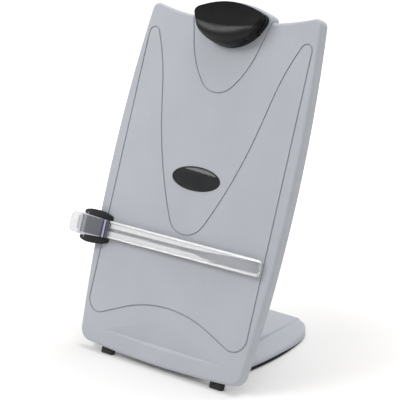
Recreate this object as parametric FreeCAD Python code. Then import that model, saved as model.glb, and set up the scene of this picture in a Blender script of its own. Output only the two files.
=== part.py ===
import FreeCAD, Part
import math
import os

# Desk copy holder: a moulded board leaning on a folding foot, with a spring clip at its top
# and a clear line guide on a slider that runs up and down the board's left edge.
#
# The board's pieces are drawn in the board's own frame: x across, y into the board from its
# front face, z up the board from the middle of its bottom edge.  on_board() then leans them
# back.  The foot is drawn standing on the desk.  Everything is in millimetres, +Z up, with
# the origin under the middle of the overall box.

Vector = FreeCAD.Vector

# ---- stance ----------------------------------------------------------------------------------
LEAN = 21.0              # board leans back from upright, degrees
BOARD_LIFT = 6.5         # bottom edge of the board above the desk

# ---- board -----------------------------------------------------------------------------------
BOARD_WIDTH = 243.6      # at its widest
WIDEST_AT = 202.0        # height of the widest place
SIDE_RADIUS = 1600.0     # bow of the long sides
BOTTOM_RADIUS = 1200.0   # bow of the bottom edge
TOP_RADIUS = 294.0       # each half of the top edge sags on this radius
TOP_LOW = (23.5, 377.0)  # lowest point of that sag's circle
BOTTOM_CORNER_RADIUS = 15.0
EAR_RADIUS = 8.0
BOARD_DEPTH = 12.0       # front face to back face
BOARD_WALL = 2.5
FACE_FILLET = 3.5        # round-over between face and sides
FIT = 0.3                # gap between pieces that move on each other
SNUG = 0.1               # gap round pieces that are fixed in a pocket
FAR = 500.0              # beyond the whole holder, for cutting shapes
FLAT = 1e-4              # tolerance when picking edges
BEYOND = 5.0             # how far a cutting shape runs past what it cuts
BITE = 0.2               # how far pieces of one moulding run into each other

# ---- tongue: the strip behind the clip, rising as a crest over the top edge ------------------
TONGUE_HALF_WIDTH = 52.0
CREST_TOP = 396.5
CREST_RADIUS = 110.0
CREST_CORNER = 6.0
CREST_FILLET = 2.5
CREST_OVERLAP = 6.0      # the sagging top edge runs this far under the crest
CREST_ROOT = 30.5        # the crest block reaches this far down, inside the board

# ---- grooves in the face: paths of tangent arcs, each a radius and a heading to turn to ------
GROOVE_WIDTH = 1.6
GROOVE_DEPTH = 1.2
VEE_V = 142.0            # bottom of the V between the two lobes
VEE_TIP_RADIUS = 25.8
VEE_TIP_HEADING = 62.0
VEE_SIDE_RADIUS = 489.6
VEE_SIDE_HEADING = 76.6
VEE_STRAIGHT = 27.9
VEE_FLARE_RADIUS = 250.0
VEE_FLARE_HEADING = 62.6
LOBE_RADIUS = 7.0
LOOP_CORNER_RADIUS = 16.3
HILL_HEADING = 157.0     # slope of the loop's bottom beside its middle hill
HILL_RADIUS = 150.0
HILL_V = 62.0            # top of the hill
TONGUE_V = 297.2         # bottom of the tongue's groove
TONGUE_TIP_RADIUS = 26.7
TONGUE_TIP_HEADING = 48.0
TONGUE_SIDE_RADIUS = 105.0
TONGUE_SIDE_HEADING = 73.7
TONGUE_STRAIGHT = 40.0

# ---- ledge that the paper stands on ----------------------------------------------------------
LEDGE_DEPTH = 2.6
LEDGE_HALF_WIDTH = 82.0
LEDGE_U = 4.0            # middle of the ledge, right of the board's middle
LEDGE_V = 21.2           # deepest line of the scoop
LEDGE_LIP = 3.6          # height of the up-facing slope under that line
LEDGE_FADE = 50.0        # where the scoop fades into the face
LEDGE_BACKING = 12.0     # the thicker wall behind the scoop reaches this far above its deepest line

# ---- badge -----------------------------------------------------------------------------------
BADGE_V = 203.0
BADGE_HALF_WIDTH = 32.0
BADGE_HALF_HEIGHT = 13.0
BADGE_POCKET = 1.2
BEZEL_WIDTH = 1.5
BEZEL_PROUD = 0.7
BEZEL_CHAMFER = 0.4
BADGE_DOME = 1.7         # highest point of the badge over the face
BADGE_EDGE = 0.2         # its edge over the face

# ---- back cover ------------------------------------------------------------------------------
COVER_THICKNESS = 2.2
RAIL_IN = 15.8           # centre of the slider's guide rail, inwards from the board's widest edge
RAIL_WIDTH = 4.0
RAIL_HEIGHT = 2.2
RAIL_BOTTOM = 26.0
RAIL_TOP = 364.0
COVER_SCREW_PAIRS = [(80.0, 60.0), (88.0, 205.0), (80.0, 345.0)]
SCREW_RADIUS = 1.5
SCREW_HEAD_RADIUS = 2.9
SCREW_HEAD_HEIGHT = 1.7
SCREW_LENGTH = 8.0
SCREW_SLOT = 0.8         # width of the cross in a screw's head
SCREW_SLOT_DEPTH = 0.7
SCREW_SLOT_REACH = 2.0
SCREW_PAD = 1.5          # cover's thick ring round a screw's head
BOSS_RADIUS = 4.0
RIB = 1.6                # thickness of the ribs inside
RIB_ROWS = [105.0, 160.0, 255.0, 310.0]
RIB_COLUMNS = [-60.0, 0.0, 60.0]
RIB_BOTTOM = 14.0
RIB_TOP = 370.0

# ---- front feet ------------------------------------------------------------------------------
FEET_U = 4.0             # middle between the two feet
FOOT_U = 75.0            # and each foot's middle from there
FOOT_LENGTH = 18.0
FOOT_WIDTH = 6.0
FOOT_SEAT = 1.6          # depth of the foot's pocket in the board's bottom wall
FOOT_Y = 8.0             # middle of the foot behind the face
FOOT_CHAMFER = 0.8
FOOT_BLOCK = 2.0         # thicker moulding round the foot's pocket

# ---- hinge between board and foot ------------------------------------------------------------
HINGE_V = 32.0           # hinge line, up the board
HINGE_BEHIND = 10.0      # hinge line behind the board's back face
PIN_RADIUS = 2.5
BARREL_RADIUS = 8.6
BARREL_HALF_WIDTH = 46.0
WASHER_THICKNESS = 0.8
WASHER_RADIUS = 6.5
EAR_THICKNESS = 7.0
BRACKET_LENGTH = 26.0    # bracket pad, from the ear outwards
BRACKET_PAD = 3.0
BRACKET_HALF_HEIGHT = 19.0
EAR_OUTER_RADIUS = 7.6
BRACKET_SCREW_V = 12.0   # screws above and below the hinge line
BRACKET_SCREW_OUT = 18.7 # and outwards from the ear's inner face
BRACKET_CORNER = 6.0
WEB_NARROWING = 4.0      # the ear's root is this much shorter than the pad, top and bottom
GUSSET_OUT = 7.0         # reach of the gussets outside the ear
GUSSET_THICKNESS = 2.4
PIN_RUN = 0.05           # running gap of the pin
PIN_HEAD = 1.5
PIN_HEAD_RADIUS = 4.2
PIN_HEAD_ROUND = 0.6
PIN_CLIP_THICKNESS = 1.0

# ---- foot (base), plan -----------------------------------------------------------------------
BASE_REAR = 202.0        # rear edge behind the board's bottom edge
REAR_RADIUS = 680.0      # the plan turns clockwise from the rear's middle, arc by arc
REAR_HEADING = -4.2
REAR_CORNER_RADIUS = 22.0
REAR_CORNER_HEADING = -50.0
HIP_RADIUS = 70.0
HIP_HEADING = -80.0
SIDE_BOW_RADIUS = 300.0
SIDE_HEADING = -99.3
FRONT_CORNER_RADIUS = 20.0
BASE_RIM = 4.6           # underside of the rim over the desk, front and sides
BASE_REAR_RIM = 0.8      # the rear skirt comes down to here
SKIRT_START = 90.0       # the skirt starts to come down this far ahead of the rear edge
SKIRT_END = 30.0         # and is down here
WING_TOP = 9.6           # top of the flat wings
WING_FILLET = 3.6
BASE_WALL = 2.4

# ---- foot, raised middle and neck ------------------------------------------------------------
CROWN_HALF_WIDTH = 54.0
CROWN_REAR_TOP = 9.9
CROWN_FILLET = 4.5
CROWN_CURVE = [(52.0, 12.2), (102.0, 14.2), (136.0, 16.6)]   # ahead of the rear edge, and height
CROWN_REAR_RUN = 5.0     # the crown's side view runs this far past the rear edge
CURVE_PULL = 30.0        # length of that curve's end tangents
REAR_SLOPE = 0.05        # rise of the crown at its rear end
NECK_SLOPE = 0.25        # lean of the neck where it meets the barrel
UNDER_MEET = 215.0       # the neck's underside leaves the barrel here, degrees
NECK_FOOT = 2.0          # and meets the wings this far behind their front edge
NECK_MEET = 12.5         # the neck's top leaves the barrel this far over the hinge line's rear
NECK_UNDER = 19.8        # the neck widens this far behind the foot's front edge

# ---- foot, underside -------------------------------------------------------------------------
TRAY_INSET = 0.4         # the tray's visible band under the rim
TRAY_UNDERSIDE = 0.8
TRAY_FLOOR = 2.0
TRAY_ROOM = 1.0          # between the tray's wall and the top of the foot
TRAY_HEAD = 1.36         # height of the flat heads under the tray
TRAY_SCREW_LENGTH = 5.5
TRAY_SCREW_FRONT = (40.0, 23.8)    # across, and behind the foot's front edge
TRAY_SCREW_REAR = (46.0, 46.0)     # across, and ahead of its rear edge
PAD_RADIUS = 8.0
PAD_POCKET = 0.8
PAD_CHAMFER = 0.4
PAD_FRONT = (62.0, 15.8)           # across, and behind the foot's front edge
PAD_REAR = (52.0, 26.0)            # across, and ahead of its rear edge

# ---- clip: heights are measured up from its lip ----------------------------------------------
CLIP_U = 4.0             # the clip sits this far right of the middle
CLIP_LIP_V = 346.3
CLIP_HEIGHT = 46.9
CLIP_LOWER_RADIUS = 47.5 # front view: a deep arc below, a flat arc above
CLIP_UPPER_RADIUS = 105.0
CLIP_TIP_RADIUS = 8.0
CLIP_PROUD = 18.5
CLIP_CROWN = 645.0       # bow of the clip's front, across
CLIP_SHOULDER = 6.0      # rounding between the bulge and the side wall
CLIP_BACK = 9.5          # back of the thumb plate over the face
CLIP_WALL = 2.2
LIP_GAP = 0.5            # lip over the face, about a few sheets of paper
LIP_EDGE = 0.5           # thickness of the lip itself
BULGE_RISE = 6.7         # a point half way round the bulge
BULGE_PROUD = 10.5
CREASE_RISE = 20.5
SCOOP_RISE = 35.7
SCOOP_RADIUS = 23.0
SCOOP_FLOOR = 12.5
SCOOP_SWEEP = 250.0      # radius of the scoop across the clip
CLIP_PIN_RISE = 29.7
CLIP_PIN_PROUD = 6.4
CLIP_PIN_RADIUS = 1.5
CLIP_PIN_HALF = 27.0
MOUNT_THICKNESS = 6.5
MOUNT_RISE = 19.7        # bottom of the mount
MOUNT_INSET = 0.6        # mount inside the clip's outline
MOUNT_ROOM = 1.2         # between the mount's bottom and the clip's side walls
LUG_THICKNESS = 4.0
LUG_RADIUS = 3.0
MOUNT_LUG_U = 16.0       # inner face of the mount's lugs
CLIP_SCREW_U = 9.0       # the mount's screws, from the clip's middle
CLIP_SCREW_RISE = 26.7
CLIP_SCREW_END = -2.2    # depth of the screws' points, inside the mount
CLIP_BACKING = 32.0      # half width of the block inside the board that carries the mount
BACKING_MARGIN = 1.0     # that block inside the mount's bottom and under the board's top edge
SPRING_WIDTH = 12.0
SPRING_THICKNESS = 0.5
SPRING_RADIUS = 2.7      # outside of the bend round the pin
SPRING_FOOT = 3.2        # leg that lies in the mount's channel
SPRING_LEG = 6.0         # leg under the thumb plate
SPRING_SLOPE = 8.0       # and its slope away from the plate, degrees
GRIP_THICKNESS = 0.9
GRIP_HEIGHT = 5.0
GRIP_SHELF = 1.6
SHELF_LIP = 1.0          # the shelf reaches this far past the strip

# ---- line guide slider: its edges are measured from the board's widest edge ------------------
GUIDE_V = 128.5          # height of the line guide on the board
SLIDER_OUTER = 16.2      # slider's outer edge, outwards
SLIDER_INNER = 23.3      # slider's inner edge on the face, inwards
SLIDER_HALF_MID = 18.8   # half height in the middle of its barrel-shaped ends
SLIDER_HALF_OUTER = 15.9
SLIDER_HALF_INNER = 14.6
SLIDER_PROUD = 8.3
SLIDER_CREST = 2.0       # the front's highest line, outwards from its middle
SLIDER_EDGE_PROUD = 4.4  # height of the front at the outer edge
SLIDER_TOE = 1.5         # height of the front at the inner edge
SLIDER_CORNER = 2.0
SLIDER_REAR_CORNER = 3.0
SLIDER_BACK = 4.8        # thickness of the plate behind the board
EDGE_RUN = 0.8           # room beside the board's widest place
CHEEK_GAP = 0.35
RECESS_FLOOR = 3.0       # floor under the clear block, over the face
RECESS_RUN = 6.0         # the recess runs this far past the block's ends
SWING_EDGE = 2.4         # the recess is deep outwards from here, past the pivot
SWING_DEPTH = 4.6
SLIDER_SCREW_IN = 7.7    # screws inwards from the outer edge
SLIDER_SCREW_V = 14.0
SLIDER_SCREW_DEPTH = 7.0
SLIDER_SCREW_SINK = 0.6  # heads below the plate's back
FELT_EDGE = 1.9          # felt inwards from the board's widest edge
FELT_MARGIN = 0.8        # and short of the rail's groove
FELT_HEIGHT = 22.0
FELT_THICKNESS = 1.2
FELT_POCKET = 1.2

# ---- clear line guide: the block's ends are measured from the slider's edges -----------------
GUIDE_PIVOT_IN = 9.0     # pivot inwards from the block's outer end
GUIDE_PIVOT_PROUD = 6.0
STUB_RADIUS = 1.2
STUB_LENGTH = 5.0
BLOCK_OUTER = 1.0        # outer end past the slider's outer edge
BLOCK_INNER = 1.5        # inner end past the slider's inner edge
BLOCK_HALF_OUTER = 12.0
BLOCK_HALF_INNER = 9.6
BLOCK_PROUD = 10.0
BLOCK_SLOPE = 1.2        # fall of the block's front to its outer end
BLOCK_SLOPE_RUN = 16.0
BLOCK_ROUND = 1.0
BLOCK_WALL = 1.9
BLOCK_UNDER = 3.4
ARM_END = 106.0
ARM_ROOT = 1.0           # how far the arm runs into the block's end wall
ARM_HALF = 9.4
ARM_UNDER = 2.6
ARM_THICKNESS = 2.9
ARM_RAIL = 5.0           # width of each thick edge band
ARM_BEVEL = 1.1
ARM_WEB = 1.3
TAB_LENGTH = 15.5        # past the block's outer end
TAB_ROOT = 1.0
TAB_HALF = 11.8
TAB_UNDER = 5.0
TAB_THICKNESS = 2.4
TAB_CORNER = 6.0
TAB_ROUND = 0.8

# ---- places worked out from the sizes --------------------------------------------------------
lean = math.radians(LEAN)
hinge_y = BOARD_DEPTH + HINGE_BEHIND
ear_in = BARREL_HALF_WIDTH + FIT + WASHER_THICKNESS + SNUG
ear_out = ear_in + EAR_THICKNESS
rail_half = RAIL_WIDTH / 2
board_half = BOARD_WIDTH / 2
inside = BOARD_DEPTH - COVER_THICKNESS
split = BOARD_DEPTH + FIT
slider_rear = split + SLIDER_BACK
rail_u = RAIL_IN - board_half
slider_left = -board_half - SLIDER_OUTER
slider_right = SLIDER_INNER - board_half
block_left = slider_left - BLOCK_OUTER
block_right = slider_right + BLOCK_INNER
tab_left = block_left - TAB_LENGTH
pivot_u = block_left + GUIDE_PIVOT_IN
slider_screw_u = slider_left + SLIDER_SCREW_IN
clip_top = CLIP_LIP_V + CLIP_HEIGHT
clip_pin_v = CLIP_LIP_V + CLIP_PIN_RISE
mount_bottom = CLIP_LIP_V + MOUNT_RISE
tray_wall = BASE_WALL + SNUG
ORIGIN_X = (board_half + tab_left) / 2
face_front = FACE_FILLET * (math.sin(lean) + math.cos(lean) - 1)
foot_front = (FOOT_Y - FOOT_WIDTH / 2 - (BOARD_LIFT - FOOT_CHAMFER) * math.sin(lean)) / math.cos(lean)
ORIGIN_Y = (BASE_REAR + min(face_front, foot_front)) / 2


# ---- small helpers ---------------------------------------------------------------------------
def box(x0, x1, y0, y1, z0, z1):
    return Part.makeBox(x1 - x0, y1 - y0, z1 - z0, Vector(x0, y0, z0))


def rod(radius, start, direction, length):
    return Part.makeCylinder(radius, length, start, direction)


def inward(radius, x, y0, y1, z):
    """A round bar along y, from y0 to y1."""
    return rod(radius, Vector(x, y0, z), Vector(0, 1, 0), y1 - y0)


def upright(radius, x, y, z0, z1):
    """A round bar along z, from z0 to z1."""
    return rod(radius, Vector(x, y, z0), Vector(0, 0, 1), z1 - z0)


def face_point(point, y=0.0):
    """A point of a front-view drawing (across, up) at depth y."""
    return Vector(point[0], y, point[1])


def line(a, b):
    return Part.makeLine(face_point(a), face_point(b))


def arc(a, middle, b):
    return Part.Arc(face_point(a), face_point(middle), face_point(b)).toShape()


def bearing(centre, radius, degrees):
    turn = math.radians(degrees)
    return (centre[0] + radius * math.cos(turn), centre[1] + radius * math.sin(turn))


def mirrored(edge):
    """An edge's mirror image on the other side of the middle."""
    return edge.mirror(Vector(0, 0, 0), Vector(1, 0, 0))


def both_halves(edges):
    """The right half's edges and their mirror images, as one wire."""
    return Part.Wire(Part.__sortEdges__(edges + [mirrored(edge) for edge in edges]))


def slab(wire, y0, y1):
    """A front-view outline made solid from depth y0 to y1."""
    face = Part.Face(wire)
    face.translate(Vector(0, y0 - wire.BoundBox.YMin, 0))
    return face.extrude(Vector(0, y1 - y0, 0))


def cross_section(wire, x0, x1):
    """A side-view outline made solid from x0 to x1."""
    face = Part.Face(wire)
    face.translate(Vector(x0 - wire.BoundBox.XMin, 0, 0))
    return face.extrude(Vector(x1 - x0, 0, 0))


def fused(shapes):
    whole = shapes[0].multiFuse(shapes[1:]) if len(shapes) > 1 else shapes[0]
    return whole.removeSplitter()


def edges_where(shape, test):
    return [edge for edge in shape.Edges if test(edge)]


def along(edge, axis):
    """True for a straight edge parallel to axis."""
    if not isinstance(edge.Curve, Part.Line):
        return False
    return abs(abs(edge.Curve.Direction.dot(axis)) - 1) < 1e-6


def on_board(shape):
    """Lean a piece drawn in the board's frame back onto the desk's frame."""
    leant = shape.copy()
    leant.rotate(Vector(0, 0, 0), Vector(1, 0, 0), -LEAN)
    leant.translate(Vector(-ORIGIN_X, -ORIGIN_Y, BOARD_LIFT))
    return leant


def on_desk(shape):
    placed = shape.copy()
    placed.translate(Vector(-ORIGIN_X, -ORIGIN_Y, 0))
    return placed


def board_to_desk(u, y, v):
    """Where a point of the board's frame stands on the desk, before the origin's shift."""
    up = BOARD_LIFT + v * math.cos(lean) - y * math.sin(lean)
    return (u, v * math.sin(lean) + y * math.cos(lean), up)


# ---- board -----------------------------------------------------------------------------------
def circle_meet(centre_a, radius_a, centre_b, radius_b):
    """The meeting point of two circles that lies further right, or further out."""
    across, up = centre_b[0] - centre_a[0], centre_b[1] - centre_a[1]
    distance = math.hypot(across, up)
    share = (radius_a ** 2 - radius_b ** 2 + distance ** 2) / (2 * distance)
    rise = math.sqrt(radius_a ** 2 - share ** 2)
    middle = (centre_a[0] + share * across / distance, centre_a[1] + share * up / distance)
    offsets = (rise * up / distance, rise * across / distance)
    first = (middle[0] + offsets[0], middle[1] - offsets[1])
    second = (middle[0] - offsets[0], middle[1] + offsets[1])
    return max(first, second)


def toward(start, target, distance):
    """The point at a distance from start, in the direction of target."""
    across, up = target[0] - start[0], target[1] - start[1]
    share = distance / math.hypot(across, up)
    return (start[0] + share * across, start[1] + share * up)


def round_arc(centre, radius, start, end):
    """The shorter arc about centre from start to end."""
    middle = ((start[0] + end[0]) / 2, (start[1] + end[1]) / 2)
    return arc(start, toward(centre, middle, radius), end)


def board_outline(inset):
    """The board's outline of tangent arcs, moved inwards by inset."""
    side_centre = (board_half - SIDE_RADIUS, WIDEST_AT)
    bottom_centre = (0, BOTTOM_RADIUS)
    top_centre = (TOP_LOW[0], TOP_LOW[1] + TOP_RADIUS)
    corner = circle_meet(side_centre, SIDE_RADIUS - BOTTOM_CORNER_RADIUS,
                         bottom_centre, BOTTOM_RADIUS - BOTTOM_CORNER_RADIUS)
    ear = circle_meet(side_centre, SIDE_RADIUS - EAR_RADIUS, top_centre, TOP_RADIUS + EAR_RADIUS)
    bottom_end = toward(bottom_centre, corner, BOTTOM_RADIUS - inset)
    side_start = toward(side_centre, corner, SIDE_RADIUS - inset)
    side_end = toward(side_centre, ear, SIDE_RADIUS - inset)
    ear_end = toward(top_centre, ear, TOP_RADIUS + inset)
    under_crest = TONGUE_HALF_WIDTH - CREST_OVERLAP
    reach = under_crest - TOP_LOW[0]
    top_end = (under_crest, top_centre[1] - math.sqrt((TOP_RADIUS + inset) ** 2 - reach ** 2))
    edges = [round_arc(corner, BOTTOM_CORNER_RADIUS - inset, bottom_end, side_start),
             arc(side_start, (board_half - inset, WIDEST_AT), side_end),
             round_arc(ear, EAR_RADIUS - inset, side_end, ear_end),
             round_arc(top_centre, TOP_RADIUS + inset, ear_end, top_end)]
    left = [mirrored(edge) for edge in edges]
    bottom = arc((-bottom_end[0], bottom_end[1]), (0, inset), bottom_end)
    middle = line(top_end, (-top_end[0], top_end[1]))
    return Part.Wire(Part.__sortEdges__([bottom] + edges + [middle] + left))


def board_slab(inset, y0, y1):
    return slab(board_outline(inset), y0, y1)


def lies_at(low, high, place):
    """True where an extent from low to high is flat at a place."""
    return abs(low - place) < FLAT and abs(high - place) < FLAT


def round_front(shape, radius, y):
    """Round over every edge of a slab that lies on its front, at depth y."""
    front = edges_where(shape, lambda e: lies_at(e.BoundBox.YMin, e.BoundBox.YMax, y))
    return shape.makeFillet(radius, front)


def crest():
    """The tongue's rounded top, standing over the board's top edge."""
    side_top = CREST_TOP - TONGUE_HALF_WIDTH ** 2 / (2 * CREST_RADIUS)
    root = CREST_TOP - CREST_ROOT
    edges = [line((0, root), (TONGUE_HALF_WIDTH, root)),
             line((TONGUE_HALF_WIDTH, root), (TONGUE_HALF_WIDTH, side_top))]
    top = arc((TONGUE_HALF_WIDTH, side_top), (0, CREST_TOP), (-TONGUE_HALF_WIDTH, side_top))
    left = [mirrored(edge) for edge in edges]
    block = slab(Part.Wire(Part.__sortEdges__(edges + [top] + left)), 0, BOARD_DEPTH)
    upright_edges = edges_where(block, lambda e: along(e, Vector(0, 1, 0)))
    corners = [edge for edge in upright_edges if edge.CenterOfMass.z > root + FLAT]
    block = block.makeFillet(CREST_CORNER, corners)
    rim = edges_where(block, lambda e: e.BoundBox.YMax < FLAT and e.BoundBox.ZMin > root + FLAT)
    return block.makeFillet(CREST_FILLET, rim)


def traced(start, steps, outward):
    """Edges of a path of tangent arcs and lines, moved outward (to its right) by a distance.

    A step is (radius, heading) for an arc and (None, length) for a straight run.  A turn to a
    larger heading goes left.
    """
    heading = 0.0
    here = (start[0], start[1] - outward)
    edges = []
    for radius, value in steps:
        if radius is None:
            there = bearing(here, value, heading)
            edges.append(line(here, there))
        else:
            left = value > heading
            real = radius + outward if left else radius - outward
            centre = bearing(here, real, heading + (90 if left else -90))
            back = -90 if left else 90
            there = bearing(centre, real, value + back)
            edges.append(arc(here, bearing(centre, real, (heading + value) / 2 + back), there))
            heading = value
        here = there
    return edges, here


def loop_steps():
    """The inset panel's groove, from the bottom of the V round the right lobe to the hill."""
    steps = [(VEE_TIP_RADIUS, VEE_TIP_HEADING), (VEE_SIDE_RADIUS, VEE_SIDE_HEADING), (None, VEE_STRAIGHT),
             (VEE_FLARE_RADIUS, VEE_FLARE_HEADING), (LOBE_RADIUS, -90.0)]
    ending = [(LOOP_CORNER_RADIUS, HILL_HEADING - 360), (HILL_RADIUS, -180.0)]
    _, open_end = traced((0, VEE_V), steps + ending, 0)
    slope = bearing((0, 0), 1, HILL_HEADING)
    run = -open_end[0] / slope[0]
    drop = open_end[1] + run * slope[1] - HILL_V
    return steps + [(None, drop), ending[0], (None, run), ending[1]]


def loop_wire(outward):
    edges, _ = traced((0, VEE_V), loop_steps(), outward)
    return both_halves(edges)


def loop_groove():
    """One closed groove round the inset panel: two long lobes joined at the bottom."""
    band = Part.Face(loop_wire(-GROOVE_WIDTH / 2)).cut(Part.Face(loop_wire(GROOVE_WIDTH / 2)))
    band.translate(Vector(0, -BEYOND, 0))
    return band.extrude(Vector(0, BEYOND + GROOVE_DEPTH, 0))


def tongue_groove():
    """The U-shaped groove round the tongue, open at the top edge."""
    steps = [(TONGUE_TIP_RADIUS, TONGUE_TIP_HEADING), (TONGUE_SIDE_RADIUS, TONGUE_SIDE_HEADING),
             (None, TONGUE_STRAIGHT)]
    sides = [traced((0, TONGUE_V), steps, shift) for shift in (GROOVE_WIDTH / 2, -GROOVE_WIDTH / 2)]
    outer_end, inner_end = sides[0][1], sides[1][1]
    edges = sides[0][0] + sides[1][0]
    left = [mirrored(edge) for edge in edges]
    end = line(outer_end, inner_end)
    band = Part.Face(Part.Wire(Part.__sortEdges__(edges + left + [end, mirrored(end)])))
    band.translate(Vector(0, -BEYOND, 0))
    return band.extrude(Vector(0, BEYOND + GROOVE_DEPTH, 0))


def ledge_scoop():
    """A shallow dish whose lower slope is the ledge: a large disc's rim, turned about an upright axis."""
    radius = (LEDGE_HALF_WIDTH ** 2 - LEDGE_DEPTH ** 2) / (2 * LEDGE_DEPTH)
    slope = LEDGE_LIP / LEDGE_DEPTH
    deep = Vector(LEDGE_U, LEDGE_DEPTH, LEDGE_V)
    front_low = Vector(LEDGE_U, -BEYOND, LEDGE_V - slope * (LEDGE_DEPTH + BEYOND))
    fade = Vector(LEDGE_U, 0, LEDGE_FADE)
    fade_mid = Vector(LEDGE_U, LEDGE_DEPTH / 4, (LEDGE_FADE + LEDGE_V) / 2)
    front_top = Vector(LEDGE_U, -BEYOND, LEDGE_FADE)
    edges = [Part.makeLine(front_low, deep), Part.Arc(deep, fade_mid, fade).toShape(),
             Part.makeLine(fade, front_top), Part.makeLine(front_top, front_low)]
    section = Part.Face(Part.Wire(edges))
    axis = Vector(LEDGE_U, -radius, 0)
    turn = math.degrees(math.asin((LEDGE_HALF_WIDTH + BOARD_DEPTH) / radius))
    section.rotate(axis, Vector(0, 0, 1), -turn)
    return section.revolve(axis, Vector(0, 0, 1), 2 * turn)


def oval(half_width, half_height, y0, y1):
    ellipse = Part.Ellipse(Vector(0, y0, 0), half_width, half_height)
    edge = ellipse.toShape()
    edge.rotate(Vector(0, y0, 0), Vector(1, 0, 0), 90)
    edge.translate(Vector(0, y0 - edge.BoundBox.YMin, BADGE_V))
    return Part.Face(Part.Wire(edge)).extrude(Vector(0, y1 - y0, 0))


def screw_places():
    """Every screw in the board's back: across, up, and the depth of its head's seat."""
    places = [(side * u, v, BOARD_DEPTH) for side in (-1, 1) for u, v in COVER_SCREW_PAIRS]
    for side in (-1, 1):
        for step in (-1, 1):
            u = side * (ear_in + BRACKET_SCREW_OUT)
            places.append((u, HINGE_V + step * BRACKET_SCREW_V, BOARD_DEPTH + BRACKET_PAD))
    return places


def screw(u, v, seat):
    """A pan-head screw driven towards the front, its head under y = seat."""
    shank_top = seat - SCREW_HEAD_HEIGHT
    head = inward(SCREW_HEAD_RADIUS, u, shank_top, seat, v)
    shank = inward(SCREW_RADIUS, u, shank_top - SCREW_LENGTH, shank_top, v)
    bottom = seat - SCREW_SLOT_DEPTH
    half, reach = SCREW_SLOT / 2, SCREW_SLOT_REACH
    slot = box(u - reach, u + reach, bottom, seat, v - half, v + half)
    cross = box(u - half, u + half, bottom, seat, v - reach, v + reach)
    return head.fuse(shank).cut(slot.fuse(cross))


def screw_hole(u, v, seat, depth):
    """Counterbore and clearance hole for a screw whose head ends flush at y = seat."""
    head = inward(SCREW_HEAD_RADIUS + SNUG, u, seat - SCREW_HEAD_HEIGHT, seat + BEYOND, v)
    return head.fuse(inward(SCREW_RADIUS, u, seat - depth, seat, v))


def foot_prism(grow, bottom, top):
    """The oblong of a front foot, standing along the board's own up direction."""
    radius = FOOT_WIDTH / 2 + grow
    half = (FOOT_LENGTH - FOOT_WIDTH) / 2
    rounds = [upright(radius, u, FOOT_Y, bottom, top) for u in (-half, half)]
    middle = box(-half, half, FOOT_Y - radius, FOOT_Y + radius, bottom, top)
    return fused(rounds + [middle])


def bottom_edge_at(u):
    """Height of the board's bottom edge at a place across."""
    return BOTTOM_RADIUS - math.sqrt(BOTTOM_RADIUS ** 2 - u ** 2)


def foot_spots():
    """Each front foot's place across, and the top of its pocket."""
    spots = [FEET_U + side * FOOT_U for side in (-1, 1)]
    return [(u, bottom_edge_at(u) + FOOT_SEAT) for u in spots]


def board_ribs():
    """Ribs, screw bosses and thicker blocks inside the board."""
    root = BOARD_WALL - BITE
    half = RIB / 2
    ribs = [box(-board_half, board_half, root, inside, v - half, v + half) for v in RIB_ROWS]
    ribs += [box(u - half, u + half, root, inside, RIB_BOTTOM, RIB_TOP) for u in RIB_COLUMNS]
    bosses = [inward(BOSS_RADIUS, u, root, inside, v) for u, v, seat in screw_places()]
    clip_backing = box(CLIP_U - CLIP_BACKING, CLIP_U + CLIP_BACKING, root, inside,
                       mount_bottom + BACKING_MARGIN, TOP_LOW[1] - BACKING_MARGIN)
    ledge_backing = box(LEDGE_U - LEDGE_HALF_WIDTH, LEDGE_U + LEDGE_HALF_WIDTH,
                        root, LEDGE_DEPTH + BOARD_WALL, LEDGE_V - LEDGE_LIP, LEDGE_V + LEDGE_BACKING)
    reach = FOOT_LENGTH / 2 + FOOT_BLOCK
    seats = [box(u - reach, u + reach, root, inside, 0, top + BOARD_WALL) for u, top in foot_spots()]
    room = board_slab(BOARD_WALL - BITE, 0, BOARD_DEPTH)
    return fused(ribs + bosses + [clip_backing, ledge_backing] + seats).common(room)


def front_board():
    blank = round_front(board_slab(0, 0, BOARD_DEPTH), FACE_FILLET, 0)
    shell = blank.fuse(crest())
    shell = shell.cut(board_slab(BOARD_WALL, BOARD_WALL, BOARD_DEPTH + BEYOND))
    shell = shell.fuse(board_ribs())
    cutters = [loop_groove(), tongue_groove(), ledge_scoop(),
               oval(BADGE_HALF_WIDTH + SNUG, BADGE_HALF_HEIGHT + SNUG, -BEYOND, BADGE_POCKET)]
    for u, v, seat in screw_places():
        cutters.append(inward(SCREW_RADIUS, u, seat - SCREW_HEAD_HEIGHT - SCREW_LENGTH, seat, v))
    for u, top in foot_spots():
        pocket = foot_prism(SNUG, -BEYOND, top)
        pocket.translate(Vector(u, 0, 0))
        cutters.append(pocket)
    cutters += clip_screw_holes()
    for cutter in cutters:
        shell = shell.cut(cutter)
    return shell


def back_cover():
    plate = board_slab(BOARD_WALL + SNUG, inside, BOARD_DEPTH)
    rail = box(rail_u - rail_half, rail_u + rail_half, BOARD_DEPTH - BITE, BOARD_DEPTH + RAIL_HEIGHT,
               RAIL_BOTTOM, RAIL_TOP)
    ends = edges_where(rail, lambda e: along(e, Vector(0, 1, 0)))
    plate = plate.fuse(rail.makeFillet(rail_half - BITE, ends))
    for u, v, seat in screw_places():
        if seat > BOARD_DEPTH:
            plate = plate.cut(inward(SCREW_RADIUS, u, 0, seat, v))
        else:
            pad = inward(SCREW_HEAD_RADIUS + SCREW_PAD, u, inside, BOARD_DEPTH, v)
            plate = plate.fuse(pad).cut(screw_hole(u, v, seat, BOARD_DEPTH))
    return plate


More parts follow.
